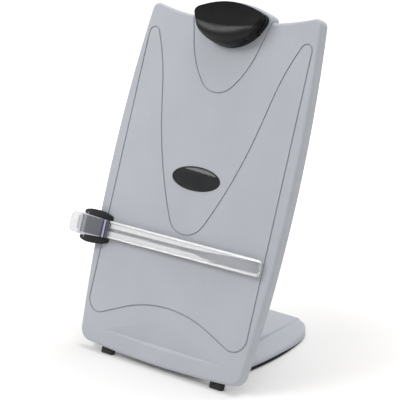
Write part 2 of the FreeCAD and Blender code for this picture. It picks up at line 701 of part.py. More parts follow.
def front_feet():
    """Rubber feet that follow the board's own up direction and stand flat on the desk."""
    feet = []
    desk = box(-FAR, FAR, -FAR, FAR, 0, FAR)
    for u, top in foot_spots():
        foot = foot_prism(0, -BOARD_LIFT * 2, top)
        foot.translate(Vector(u, 0, 0))
        foot = on_board(foot).common(desk)
        bottom = edges_where(foot, lambda e: e.BoundBox.ZMax < FLAT)
        feet.append(foot.makeChamfer(FOOT_CHAMFER, bottom))
    return Part.makeCompound(feet)


# ---- badge -----------------------------------------------------------------------------------
def badge_bezel():
    ring = oval(BADGE_HALF_WIDTH, BADGE_HALF_HEIGHT, -BEZEL_PROUD, BADGE_POCKET)
    hole = oval(BADGE_HALF_WIDTH - BEZEL_WIDTH, BADGE_HALF_HEIGHT - BEZEL_WIDTH, -BEYOND, BADGE_POCKET)
    ring = ring.cut(hole)
    rim = edges_where(ring, lambda e: e.BoundBox.YMax < -BEZEL_PROUD + FLAT)
    return ring.makeChamfer(BEZEL_CHAMFER, rim)


def badge_plate():
    """A black oval with a domed face, seated inside the bezel."""
    half_width = BADGE_HALF_WIDTH - BEZEL_WIDTH - SNUG
    half_height = BADGE_HALF_HEIGHT - BEZEL_WIDTH - SNUG
    body = oval(half_width, half_height, -BADGE_DOME - BEYOND, BADGE_POCKET)
    rise = BADGE_DOME - BADGE_EDGE
    radius = (half_height ** 2 + rise ** 2) / (2 * rise)
    stretch = FreeCAD.Matrix()
    stretch.scale(half_width / half_height, 1, 1)
    ball = Part.makeSphere(radius).transformGeometry(stretch)
    ball.translate(Vector(0, radius - BADGE_DOME, BADGE_V))
    return body.common(ball)


# ---- hinge -----------------------------------------------------------------------------------
def hinge_axis(x):
    return Vector(x, hinge_y, HINGE_V)


def side_plate(points, x, thickness):
    """A plate standing across the board: its (y, z) corners, at x."""
    corners = [Vector(x, y, z) for y, z in points]
    return Part.Face(Part.makePolygon(corners + corners[:1])).extrude(Vector(thickness, 0, 0))


def bracket_gusset(step):
    """A triangle between pad and ear, clear of the pin's head, above or below it."""
    z = HINGE_V + step * (PIN_HEAD_RADIUS + FIT * 2) - (GUSSET_THICKNESS if step < 0 else 0)
    seat = BOARD_DEPTH + BRACKET_PAD - BITE
    corners = [Vector(ear_out - BITE, seat, z), Vector(ear_out - BITE, hinge_y - FIT, z),
               Vector(ear_out + GUSSET_OUT, seat, z)]
    return Part.Face(Part.makePolygon(corners + corners[:1])).extrude(Vector(0, 0, GUSSET_THICKNESS))


def hinge_bracket(side):
    """A pad screwed to the board's back, with the ear that holds one end of the hinge pin."""
    pad = box(ear_in, ear_in + BRACKET_LENGTH, BOARD_DEPTH, BOARD_DEPTH + BRACKET_PAD,
              HINGE_V - BRACKET_HALF_HEIGHT, HINGE_V + BRACKET_HALF_HEIGHT)
    outer_corners = edges_where(pad, lambda e: along(e, Vector(0, 1, 0)) and e.CenterOfMass.x > ear_out)
    pad = pad.makeFillet(BRACKET_CORNER, outer_corners)
    round_end = rod(EAR_OUTER_RADIUS, hinge_axis(ear_in), Vector(1, 0, 0), EAR_THICKNESS)
    root = BRACKET_HALF_HEIGHT - WEB_NARROWING
    seat = BOARD_DEPTH + BRACKET_PAD - BITE
    web_corners = [(seat, HINGE_V - root), (hinge_y, HINGE_V - EAR_OUTER_RADIUS),
                   (hinge_y, HINGE_V + EAR_OUTER_RADIUS), (seat, HINGE_V + root)]
    web = side_plate(web_corners, ear_in, EAR_THICKNESS)
    bracket = fused([pad, round_end, web, bracket_gusset(-1), bracket_gusset(1)])
    bracket = bracket.cut(rod(PIN_RADIUS + PIN_RUN, hinge_axis(0), Vector(1, 0, 0), ear_out + BEYOND))
    for u, v, seat in screw_places():
        if seat > BOARD_DEPTH and u > 0:
            bracket = bracket.cut(screw_hole(u, v, seat, seat))
    return bracket if side > 0 else bracket.mirror(Vector(0, 0, 0), Vector(1, 0, 0))


def hinge_pin():
    half = ear_out + SNUG
    pin = rod(PIN_RADIUS, hinge_axis(-half - PIN_HEAD), Vector(1, 0, 0), 2 * half + PIN_HEAD)
    head = rod(PIN_HEAD_RADIUS, hinge_axis(half), Vector(1, 0, 0), PIN_HEAD)
    crown = edges_where(head, lambda e: e.BoundBox.XMin > half + PIN_HEAD - FLAT)
    return fused([pin, head.makeFillet(PIN_HEAD_ROUND, crown)])


def hinge_pin_clip():
    """The pin's push-on retaining ring, on the end away from its head."""
    start = hinge_axis(-ear_out - SNUG)
    ring = rod(PIN_HEAD_RADIUS, start, Vector(-1, 0, 0), PIN_CLIP_THICKNESS)
    return ring.cut(rod(PIN_RADIUS + PIN_RUN, start, Vector(-1, 0, 0), PIN_CLIP_THICKNESS))


def hinge_washers():
    rings = []
    for side in (-1, 1):
        start = hinge_axis(side * (BARREL_HALF_WIDTH + FIT))
        ring = rod(WASHER_RADIUS, start, Vector(side, 0, 0), WASHER_THICKNESS)
        rings.append(ring.cut(rod(PIN_RADIUS + PIN_RUN, start, Vector(side, 0, 0), WASHER_THICKNESS)))
    return Part.makeCompound(rings)


# ---- foot ------------------------------------------------------------------------------------
def plan_wire(inset, z):
    """The foot's outline seen from above, from tangent arcs, moved inwards by inset."""
    steps = [(REAR_RADIUS, REAR_HEADING), (REAR_CORNER_RADIUS, REAR_CORNER_HEADING),
             (HIP_RADIUS, HIP_HEADING), (SIDE_BOW_RADIUS, SIDE_HEADING), (FRONT_CORNER_RADIUS, -180.0)]
    edges, end = traced((0, BASE_REAR), steps, inset)
    wire = both_halves(edges + [line(end, (0, end[1]))])
    wire.rotate(Vector(0, 0, 0), Vector(1, 0, 0), -90)
    wire.translate(Vector(0, 0, z))
    return wire


def base_front():
    """Where the foot's front edge stands behind the board's bottom edge."""
    return plan_wire(0, 0).BoundBox.YMin


def four_spots(front, rear):
    """A left and a right spot behind the foot's front edge, and two ahead of its rear edge."""
    rows = [(front[0], base_front() + front[1]), (rear[0], BASE_REAR - rear[1])]
    return [(side * x, y) for x, y in rows for side in (-1, 1)]


def tray_screw_spots():
    return four_spots(TRAY_SCREW_FRONT, TRAY_SCREW_REAR)


def pad_spots():
    return four_spots(PAD_FRONT, PAD_REAR)


def plan_block(inset, z0, z1):
    return Part.Face(plan_wire(inset, z0)).extrude(Vector(0, 0, z1 - z0))


def side_curve(points, start_pull, end_pull):
    spline = Part.BSplineCurve()
    spline.interpolate(Points=[Vector(0, y, z) for y, z in points],
                       InitialTangent=Vector(0, *start_pull), FinalTangent=Vector(0, *end_pull))
    return spline.toShape()


def neck_section(rear_y):
    """Side view of the raised middle and neck, up to the hinge barrel."""
    _, axis_y, axis_z = board_to_desk(0, hinge_y, HINGE_V)
    meet = bearing((axis_y, axis_z), BARREL_RADIUS, NECK_MEET)
    middle = [(BASE_REAR - ahead, height) for ahead, height in CROWN_CURVE]
    top = side_curve([(rear_y, CROWN_REAR_TOP)] + middle + [meet],
                     (-CURVE_PULL, CURVE_PULL * REAR_SLOPE), (-CURVE_PULL * NECK_SLOPE, CURVE_PULL))
    under = bearing((axis_y, axis_z), BARREL_RADIUS, UNDER_MEET)
    corners = [meet, under, (base_front() + NECK_FOOT, BASE_RIM), (rear_y, BASE_RIM),
               (rear_y, CROWN_REAR_TOP)]
    points = [Vector(0, y, z) for y, z in corners]
    return Part.Wire([top] + [Part.makeLine(a, b) for a, b in zip(points, points[1:])])


def underside_cut():
    """Takes the rim up off the desk at the front and sides, and leaves the rear skirt down."""
    points = [(0, -BEYOND), (0, BASE_RIM), (BASE_REAR - SKIRT_START, BASE_RIM),
              (BASE_REAR - SKIRT_END, BASE_REAR_RIM),
              (FAR, BASE_REAR_RIM), (FAR, -BEYOND)]
    wire = Part.makePolygon([Vector(0, y, z) for y, z in points + points[:1]])
    return cross_section(wire, -FAR, FAR)


def foot_crown():
    """The foot's raised middle, narrowing to the neck that carries the hinge barrel."""
    crown = cross_section(neck_section(BASE_REAR + CROWN_REAR_RUN), -CROWN_HALF_WIDTH, CROWN_HALF_WIDTH)
    top_edges = edges_where(crown, lambda e: isinstance(e.Curve, Part.BSplineCurve))
    crown = crown.makeFillet(CROWN_FILLET, top_edges)
    neck_end = base_front() + NECK_UNDER
    crown = crown.common(plan_block(0, 0, FAR).fuse(box(-FAR, FAR, 0, neck_end, 0, FAR)))
    neck = box(-BARREL_HALF_WIDTH, BARREL_HALF_WIDTH, 0, neck_end, 0, FAR)
    return crown.common(neck.fuse(box(-FAR, FAR, neck_end - BITE, FAR, 0, FAR)))


def base_foot():
    _, axis_y, axis_z = board_to_desk(0, hinge_y, HINGE_V)
    across = Vector(1, 0, 0)
    wings = plan_block(0, BASE_REAR_RIM, WING_TOP)
    top = edges_where(wings, lambda e: lies_at(e.BoundBox.ZMin, e.BoundBox.ZMax, WING_TOP))
    wings = wings.makeFillet(WING_FILLET, top)
    barrel = rod(BARREL_RADIUS, Vector(-BARREL_HALF_WIDTH, axis_y, axis_z), across, 2 * BARREL_HALF_WIDTH)
    body = fused([wings, foot_crown(), barrel])
    body = body.cut(underside_cut())
    ceiling = WING_TOP - BASE_WALL
    body = body.cut(plan_block(BASE_WALL, -BEYOND, ceiling))
    body = body.cut(rod(PIN_RADIUS + PIN_RUN, Vector(-FAR, axis_y, axis_z), across, 2 * FAR))
    floor = TRAY_UNDERSIDE + TRAY_FLOOR
    spots = tray_screw_spots()
    body = fused([body] + [upright(BOSS_RADIUS, x, y, floor, ceiling + BITE) for x, y in spots])
    for x, y in spots:
        body = body.cut(upright(SCREW_RADIUS, x, y, 0, ceiling))
    return body


def base_tray():
    """The black tray that closes the foot's underside, with a band that shows under the rim."""
    top = WING_TOP - BASE_WALL - TRAY_ROOM
    band = plan_block(TRAY_INSET, TRAY_UNDERSIDE, BASE_RIM)
    under_rim = underside_cut()
    under_rim.translate(Vector(0, 0, -SNUG))
    outer = plan_block(tray_wall, TRAY_UNDERSIDE, top).fuse(band.common(under_rim))
    tray = outer.cut(plan_block(tray_wall + BASE_WALL, TRAY_UNDERSIDE + TRAY_FLOOR, WING_TOP))
    for x, y in tray_screw_spots():
        tray = tray.cut(upright(SCREW_RADIUS, x, y, -BEYOND, WING_TOP))
        tray = tray.cut(upright(SCREW_HEAD_RADIUS + SNUG, x, y, -BEYOND, TRAY_UNDERSIDE + TRAY_HEAD))
    for x, y in pad_spots():
        tray = tray.cut(upright(PAD_RADIUS + SNUG, x, y, -BEYOND, TRAY_UNDERSIDE + PAD_POCKET))
    return tray


def base_screws():
    screws = []
    for x, y in tray_screw_spots():
        head = upright(SCREW_HEAD_RADIUS, x, y, TRAY_UNDERSIDE, TRAY_UNDERSIDE + TRAY_HEAD)
        shank = upright(SCREW_RADIUS, x, y, TRAY_UNDERSIDE, TRAY_UNDERSIDE + TRAY_SCREW_LENGTH)
        screws.append(head.fuse(shank))
    return Part.makeCompound(screws)


def base_pads():
    pads = []
    for x, y in pad_spots():
        pad = upright(PAD_RADIUS, x, y, 0, TRAY_UNDERSIDE + PAD_POCKET)
        pads.append(pad.makeChamfer(PAD_CHAMFER, edges_where(pad, lambda e: e.BoundBox.ZMax < FLAT)))
    return Part.makeCompound(pads)


# ---- clip ------------------------------------------------------------------------------------
def clip_circles():
    """Centres of the outline's lower arc, upper arc and right-hand tip."""
    lower = (0, CLIP_LIP_V + CLIP_LOWER_RADIUS)
    upper = (0, clip_top - CLIP_UPPER_RADIUS)
    tip = circle_meet(lower, CLIP_LOWER_RADIUS - CLIP_TIP_RADIUS,
                      upper, CLIP_UPPER_RADIUS - CLIP_TIP_RADIUS)
    return lower, upper, tip


def clip_outline(inset):
    """Front view of the clip, moved inwards: a deep arc below, a flat arc above, round tips."""
    lower, upper, tip = clip_circles()
    low_end = toward(lower, tip, CLIP_LOWER_RADIUS - inset)
    high_end = toward(upper, tip, CLIP_UPPER_RADIUS - inset)
    right = round_arc(tip, CLIP_TIP_RADIUS - inset, low_end, high_end)
    bottom = arc((-low_end[0], low_end[1]), (0, CLIP_LIP_V + inset), low_end)
    top = arc((-high_end[0], high_end[1]), (0, clip_top - inset), high_end)
    return Part.Wire(Part.__sortEdges__([bottom, right, top, mirrored(right)]))


def clip_side(skin, top_v):
    """Side view of the clip's bulge, skin deep inside its outer face."""
    front = skin - CLIP_PROUD
    lip = Vector(0, -LIP_GAP, CLIP_LIP_V + skin)
    bulge = Vector(0, skin - BULGE_PROUD, CLIP_LIP_V + BULGE_RISE + skin / 2)
    crease = Vector(0, front, CLIP_LIP_V + CREASE_RISE)
    corners = [crease, Vector(0, front, top_v), Vector(0, CLIP_PROUD, top_v),
               Vector(0, CLIP_PROUD, CLIP_LIP_V + skin), lip]
    return Part.Wire([Part.Arc(lip, bulge, crease).toShape()]
                     + [Part.makeLine(a, b) for a, b in zip(corners, corners[1:])])


def bowed(wire):
    """A side-view outline turned about an upright axis behind the clip, for a front bowed across."""
    centre = Vector(0, CLIP_CROWN - CLIP_PROUD, 0)
    reach = clip_circles()[2][0] + CLIP_TIP_RADIUS + BEYOND
    turn = math.degrees(math.asin(reach / CLIP_CROWN))
    section = Part.Face(wire)
    section.rotate(centre, Vector(0, 0, 1), -turn)
    return section.revolve(centre, Vector(0, 0, 1), 2 * turn)


def shoulder(skin):
    """A disc on the outline's lower arc, with a rounded front rim."""
    front = skin - CLIP_PROUD
    centre_v = CLIP_LIP_V + CLIP_LOWER_RADIUS
    disc = inward(CLIP_LOWER_RADIUS - skin, 0, front, front + 2 * CLIP_PROUD, centre_v)
    rim = edges_where(disc, lambda e: e.BoundBox.YMax < front + FLAT)
    return disc.makeFillet(CLIP_SHOULDER - skin, rim)


def scoop_tool(skin):
    """The thumb scoop above the crease: part of a large ring lying in front of the clip."""
    tube = SCOOP_RADIUS + skin
    ring_radius = SCOOP_SWEEP + skin - tube
    centre_y = -SCOOP_FLOOR - SCOOP_SWEEP
    scoop_v = CLIP_LIP_V + SCOOP_RISE
    ring = Part.makeTorus(ring_radius, tube, Vector(0, centre_y, scoop_v), Vector(0, 0, 1))
    plug = rod(ring_radius, Vector(0, centre_y, scoop_v - tube), Vector(0, 0, 1), 2 * tube)
    return ring.fuse(plug)


def clip_skin(skin, over):
    """The lever's outer shape, or its hollow when skin is the wall."""
    solid = slab(clip_outline(skin), -CLIP_PROUD - BEYOND, -LIP_GAP if skin == 0 else BEYOND)
    return solid.common(bowed(clip_side(skin, over))).common(shoulder(skin)).cut(scoop_tool(skin))


def clip_eye(u0, root):
    """A round-ended lug for the clip's pin, from u0 outwards, standing on depth root."""
    eye = rod(LUG_RADIUS, Vector(u0, -CLIP_PIN_PROUD, clip_pin_v), Vector(1, 0, 0), LUG_THICKNESS)
    ends = sorted((root, -CLIP_PIN_PROUD))
    stem = box(u0, u0 + LUG_THICKNESS, ends[0], ends[1], clip_pin_v - LUG_RADIUS, clip_pin_v + LUG_RADIUS)
    return eye.fuse(stem)


def lug_starts(inner):
    """Left-hand sides of a pair of lugs whose inner faces stand this far from the clip's middle."""
    return (-inner - LUG_THICKNESS, inner)


def pin_bore():
    half = CLIP_PIN_HALF + BEYOND
    start = Vector(-half, -CLIP_PIN_PROUD, clip_pin_v)
    return rod(CLIP_PIN_RADIUS + PIN_RUN, start, Vector(1, 0, 0), 2 * half)


def behind_lip(inset, w0, w1, top):
    """The strip just above the clip's lower edge, from w0 to w1 proud of the face."""
    strip = slab(clip_outline(inset), -w1, -w0)
    wide = CLIP_PIN_HALF + BEYOND
    return strip.common(box(-wide, wide, -w1, -w0, CLIP_LIP_V, top))


def at_clip(shape):
    shape.translate(Vector(CLIP_U, 0, 0))
    return shape


def clip_jaw():
    """The lever: a hollow bulge down to the lip, and above the crease a thumb plate."""
    over = clip_top + BEYOND
    outer = clip_skin(0, over)
    mouth = slab(clip_outline(CLIP_WALL), -LIP_GAP - LIP_EDGE, BEYOND)
    jaw = outer.cut(clip_skin(CLIP_WALL, over)).cut(mouth)
    jaw = jaw.cut(box(-FAR, FAR, -CLIP_BACK, FAR, mount_bottom - MOUNT_ROOM, over))
    shelf_back = LIP_GAP + GRIP_THICKNESS
    grip_top = CLIP_LIP_V + CLIP_WALL + GRIP_HEIGHT
    shelf = behind_lip(CLIP_WALL - BITE, shelf_back, shelf_back + GRIP_SHELF, grip_top + SHELF_LIP)
    lugs = [clip_eye(u0, -CLIP_PROUD) for u0 in lug_starts(MOUNT_LUG_U + LUG_THICKNESS + FIT)]
    inner_parts = [part.common(outer) for part in [shelf] + lugs]
    seat = behind_lip(CLIP_WALL, 0, shelf_back, grip_top + SNUG)
    return at_clip(fused([jaw] + inner_parts).cut(pin_bore()).cut(seat))


def clip_mount():
    """The black block on the tongue, with a channel where its lugs hold the lever's pin."""
    block = slab(clip_outline(MOUNT_INSET), -MOUNT_THICKNESS, 0)
    block = block.common(box(-FAR, FAR, -MOUNT_THICKNESS, 0, mount_bottom, clip_top))
    half_length = CLIP_PIN_HALF + FIT
    half_height = LUG_RADIUS + 2 * FIT
    floor = CLIP_PIN_PROUD - LUG_RADIUS - FIT
    channel = box(-half_length, half_length, -MOUNT_THICKNESS - BEYOND, -floor,
                  clip_pin_v - half_height, clip_pin_v + half_height)
    lugs = [clip_eye(u0, -floor + BITE) for u0 in lug_starts(MOUNT_LUG_U)]
    mount = at_clip(fused([block.cut(channel)] + lugs).cut(pin_bore()))
    for u, v in clip_screw_spots():
        mount = mount.cut(inward(SCREW_RADIUS, u, CLIP_SCREW_END, BOARD_DEPTH, v))
    return mount


def clip_screw_spots():
    return [(CLIP_U + side * CLIP_SCREW_U, CLIP_LIP_V + CLIP_SCREW_RISE) for side in (-1, 1)]


def clip_screw_holes():
    holes = []
    seat = inside - SCREW_HEAD_HEIGHT - SNUG
    for u, v in clip_screw_spots():
        holes.append(inward(SCREW_RADIUS, u, -BEYOND, inside, v))
        holes.append(inward(SCREW_HEAD_RADIUS + SNUG, u, seat, BOARD_DEPTH, v))
    return holes


def clip_screws():
    seat = inside - SNUG
    screws = []
    for u, v in clip_screw_spots():
        head = inward(SCREW_HEAD_RADIUS, u, seat - SCREW_HEAD_HEIGHT, seat, v)
        screws.append(head.fuse(inward(SCREW_RADIUS, u, CLIP_SCREW_END, seat - SNUG, v)))
    return Part.makeCompound(screws)


def clip_pin():
    start = Vector(-CLIP_PIN_HALF, -CLIP_PIN_PROUD, clip_pin_v)
    return at_clip(rod(CLIP_PIN_RADIUS, start, Vector(1, 0, 0), 2 * CLIP_PIN_HALF))


def clip_spring():
    """A strip spring bent round the pin: one leg in the mount's channel, one under the thumb plate."""
    def point(ahead, out):
        return Vector(0, -CLIP_PIN_PROUD - out, clip_pin_v + ahead)

    lift = math.radians(90 - SPRING_SLOPE)
    along_leg = (math.sin(lift), -math.cos(lift))
    rings = (SPRING_RADIUS, SPRING_RADIUS - SPRING_THICKNESS)
    starts = [(radius * math.cos(lift), radius * math.sin(lift)) for radius in rings]
    tips = [(a + SPRING_LEG * along_leg[0], b + SPRING_LEG * along_leg[1]) for a, b in starts]
    bends = [Part.Arc(point(0, -radius), point(-radius, 0), point(*start)).toShape()
             for radius, start in zip(rings, starts)]
    legs = [Part.makeLine(point(SPRING_FOOT, -radius), point(0, -radius)) for radius in rings]
    leaves = [Part.makeLine(point(*start), point(*tip)) for start, tip in zip(starts, tips)]
    ends = [Part.makeLine(point(SPRING_FOOT, -rings[0]), point(SPRING_FOOT, -rings[1])),
            Part.makeLine(point(*tips[0]), point(*tips[1]))]
    wire = Part.Wire(Part.__sortEdges__(bends + legs + leaves + ends))
    return at_clip(cross_section(wire, -SPRING_WIDTH / 2, SPRING_WIDTH / 2))


def clip_pad():
    """The rubber strip under the clip's lip that grips the paper."""
    top = CLIP_LIP_V + CLIP_WALL + GRIP_HEIGHT
    return at_clip(behind_lip(CLIP_WALL + SNUG, LIP_GAP, LIP_GAP + GRIP_THICKNESS, top))


# ---- slider ----------------------------------------------------------------------------------
def at_guide(shape):
    shape.translate(Vector(0, 0, GUIDE_V))
    return shape


def slider_front_view():
    middle = (slider_left + slider_right) / 2
    ends = [arc((slider_left, step * SLIDER_HALF_OUTER), (middle, step * SLIDER_HALF_MID),
                (slider_right, step * SLIDER_HALF_INNER)) for step in (-1, 1)]
    sides = [line((u, -half), (u, half)) for u, half in ((slider_left, SLIDER_HALF_OUTER),
                                                         (slider_right, SLIDER_HALF_INNER))]
    return Part.Wire(Part.__sortEdges__(ends + sides))


def slider_blank():
    """Barrel-ended block that wraps the board's edge: a plan and a front view intersected."""
    view = slab(slider_front_view(), -SLIDER_PROUD - BEYOND, slider_rear + BEYOND)
    inner_corners = edges_where(view, lambda e: along(e, Vector(0, 1, 0))
                                and e.CenterOfMass.x > slider_right - FLAT)
    view = view.makeFillet(SLIDER_CORNER, inner_corners)
    low = -SLIDER_HALF_MID - BEYOND
    front_left = Vector(slider_left, -SLIDER_EDGE_PROUD, low)
    crown = Vector((slider_left + slider_right) / 2 - SLIDER_CREST, -SLIDER_PROUD, low)
    toe = Vector(slider_right, -SLIDER_TOE, low)
    corners = [toe, Vector(slider_right, slider_rear, low), Vector(slider_left, slider_rear, low),
               front_left]
    plan = Part.Wire([Part.Arc(front_left, crown, toe).toShape()]
                     + [Part.makeLine(a, b) for a, b in zip(corners, corners[1:])])
    block = Part.Face(plan).extrude(Vector(0, 0, -2 * low))
    rear = edges_where(block, lambda e: along(e, Vector(0, 0, 1))
                       and e.CenterOfMass.y > slider_rear - FLAT)
    return block.makeFillet(SLIDER_REAR_CORNER, rear).common(view)


def recess_wedge(gap, y0, y1, reach):
    """The tapered pocket between the slider's cheeks, with its gap round the clear block."""
    slope = (BLOCK_HALF_OUTER - BLOCK_HALF_INNER) / (block_right - block_left)
    wide = BLOCK_HALF_OUTER + gap + slope * reach
    narrow = BLOCK_HALF_INNER + gap - slope * reach
    corners = [(block_left - reach, wide), (block_right + reach, narrow), (block_right + reach, -narrow),
               (block_left - reach, -wide)]
    wire = Part.makePolygon([face_point(p) for p in corners + corners[:1]])
    return slab(wire, y0, y1)


def slider_screw_spots():
    return [(slider_screw_u, step * SLIDER_SCREW_V) for step in (-1, 1)]


def slider_body():
    body = slider_blank().common(box(-FAR, FAR, -FAR, split, -FAR, FAR))
    body = body.cut(box(-board_half - EDGE_RUN, FAR, -FIT, FAR, -FAR, FAR))
    body = body.cut(recess_wedge(CHEEK_GAP, -FAR, -RECESS_FLOOR, RECESS_RUN))
    deep = recess_wedge(CHEEK_GAP, -FAR, SWING_DEPTH, RECESS_RUN)
    body = body.cut(deep.common(box(-FAR, pivot_u + SWING_EDGE, -FAR, FAR, -FAR, FAR)))
    body = body.cut(stub_bore(stub_outer()))
    for u, v in slider_screw_spots():
        body = body.cut(inward(SCREW_RADIUS, u, split - SLIDER_SCREW_DEPTH, FAR, v))
    return at_guide(body)


def block_half_at(u):
    share = (u - block_left) / (block_right - block_left)
    return BLOCK_HALF_OUTER + share * (BLOCK_HALF_INNER - BLOCK_HALF_OUTER)


def stub_outer():
    """Outer end of a pivot stub from the guide's centre line."""
    return block_half_at(pivot_u) - BLOCK_WALL + STUB_LENGTH


def stub_bore(half):
    return upright(STUB_RADIUS + SNUG / 2, pivot_u, -GUIDE_PIVOT_PROUD, -half, half)


def slider_back_plate():
    plate = slider_blank().common(box(-FAR, FAR, split, FAR, -FAR, FAR))
    reach = rail_half + FIT
    plate = plate.cut(box(rail_u - reach, rail_u + reach, 0, BOARD_DEPTH + RAIL_HEIGHT + FIT, -FAR, FAR))
    plate = plate.cut(felt_block(SNUG))
    for u, v in slider_screw_spots():
        plate = plate.cut(screw_hole(u, v, slider_rear - SLIDER_SCREW_SINK, BOARD_DEPTH))
    return at_guide(plate)


def felt_block(grow):
    outer_edge = FELT_EDGE - board_half
    inner_edge = rail_u - rail_half - FIT - FELT_MARGIN
    floor = split + FELT_POCKET
    return box(outer_edge - grow, inner_edge + grow, floor - FELT_THICKNESS, floor,
               -FELT_HEIGHT / 2 - grow, FELT_HEIGHT / 2 + grow)


def slider_felt():
    return at_guide(felt_block(0))


def slider_screws():
    return at_guide(Part.makeCompound([screw(u, v, slider_rear - SLIDER_SCREW_SINK)
                                       for u, v in slider_screw_spots()]))


def guide_stubs():
    """Two short steel stubs on which the clear guide swings, one in each cheek."""
    inner = stub_outer() - STUB_LENGTH
    stubs = [rod(STUB_RADIUS, Vector(pivot_u, -GUIDE_PIVOT_PROUD, step * inner), Vector(0, 0, step),
                 STUB_LENGTH - SNUG) for step in (-1, 1)]
    return at_guide(Part.makeCompound(stubs))


# ---- clear guide -----------------------------------------------------------------------------
def guide_block():
    """The clear block between the slider's cheeks, hollow from behind."""
    front = -BLOCK_PROUD
    wedge = recess_wedge(0, front, -BLOCK_UNDER, 0)
    ahead, start = block_left - BEYOND, block_left + BLOCK_SLOPE_RUN
    fall = BLOCK_SLOPE * (1 + BEYOND / BLOCK_SLOPE_RUN)
    corners = [(ahead, front - BEYOND), (start, front - BEYOND), (start, front), (ahead, front + fall)]
    points = [Vector(x, y, -FAR) for x, y in corners + corners[:1]]
    wedge = wedge.cut(Part.Face(Part.makePolygon(points)).extrude(Vector(0, 0, 2 * FAR)))
    rim = edges_where(wedge, lambda e: e.BoundBox.YMax < front + BLOCK_SLOPE + FLAT
                      and abs(e.CenterOfMass.z) > BLOCK_HALF_INNER / 2)
    wedge = wedge.makeFillet(BLOCK_ROUND, rim)
    room = recess_wedge(-BLOCK_WALL, front + BLOCK_WALL + BLOCK_SLOPE, 0, -BLOCK_WALL)
    return wedge.cut(room)


def arm_section(x):
    """Cross-section of the arm: two thick bevelled bands with a thin window between them."""
    top = -ARM_UNDER - ARM_THICKNESS
    web = -ARM_UNDER - ARM_WEB
    half, rail = ARM_HALF, ARM_HALF - ARM_RAIL
    upper = [(web, rail), (top, rail + ARM_BEVEL), (top, half - ARM_BEVEL), (top + ARM_BEVEL, half),
             (-ARM_UNDER, half)]
    lower = [(y, -z) for y, z in reversed(upper)]
    return Part.makePolygon([Vector(x, y, z) for y, z in lower + upper + lower[:1]])


def guide_arm():
    root = block_right - ARM_ROOT
    strip = Part.Face(arm_section(root)).extrude(Vector(ARM_END - root, 0, 0))
    centre = ARM_END - ARM_HALF
    keep = inward(ARM_HALF, centre, -FAR, 0, 0).fuse(box(root, centre, -FAR, 0, -ARM_HALF, ARM_HALF))
    return strip.common(keep)


def guide_tab():
    front = -TAB_UNDER - TAB_THICKNESS
    tab = box(tab_left, block_left + TAB_ROOT, front, -TAB_UNDER, -TAB_HALF, TAB_HALF)
    corners = edges_where(tab, lambda e: along(e, Vector(0, 1, 0)) and e.CenterOfMass.x < tab_left + FLAT)
    tab = tab.makeFillet(TAB_CORNER, corners)
    rim = edges_where(tab, lambda e: e.BoundBox.YMax < front + FLAT and e.BoundBox.XMax < block_left)
    return tab.makeFillet(TAB_ROUND, rim)


def line_guide():
    guide = fused([guide_block(), guide_arm(), guide_tab()])
    return at_guide(guide.cut(stub_bore(BLOCK_HALF_OUTER)))


# ---- all the pieces --------------------------------------------------------------------------
def all_screws(on_pads):
    chosen = [place for place in screw_places() if (place[2] > BOARD_DEPTH) == on_pads]
    return Part.makeCompound([screw(*place) for place in chosen])


BOARD_PIECES = {
    "front_board": front_board, "back_cover": back_cover,
    "cover_screws": lambda: all_screws(False), "bracket_screws": lambda: all_screws(True),
    "badge_bezel": badge_bezel, "badge_plate": badge_plate,
    "hinge_bracket_left": lambda: hinge_bracket(-1), "hinge_bracket_right": lambda: hinge_bracket(1),
    "hinge_pin": hinge_pin, "hinge_pin_clip": hinge_pin_clip, "hinge_washers": hinge_washers,
    "clip_mount": clip_mount, "clip_screws": clip_screws, "clip_pin": clip_pin,
    "clip_spring": clip_spring, "clip_jaw": clip_jaw, "clip_pad": clip_pad,
    "slider_body": slider_body, "slider_back_plate": slider_back_plate, "slider_felt": slider_felt,
    "slider_screws": slider_screws, "guide_stubs": guide_stubs, "line_guide": line_guide,
}
DESK_PIECES = {
    "base_foot": base_foot, "base_tray": base_tray, "base_screws": base_screws, "base_pads": base_pads,
}


def save(name, shape):
    volume = sum(solid.Volume for solid in shape.Solids)
    print(name, "solids", len(shape.Solids), "valid", shape.isValid(), "volume", round(volume, 1))
    shape.exportStep("parts/" + name + ".step")


def main():
    os.makedirs("parts", exist_ok=True)
    for name, make in BOARD_PIECES.items():
        save(name, on_board(make()))
    for name, make in DESK_PIECES.items():
        save(name, on_desk(make()))
    save("front_feet", front_feet())


main()
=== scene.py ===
# %% [markdown]
# # A desk copy holder, dressed in Blender
#
# The engineering model already holds the object's shape, its sizes and its moving joints.
# This lesson loads it as a fixed frame and gives every piece the finish of the real one:
# textured grey mouldings, satin black levers, a polished badge and a clear acrylic guide.
# The pieces that a maker shapes by eye are modelled here over the frame.

# %% Load the frame
import math

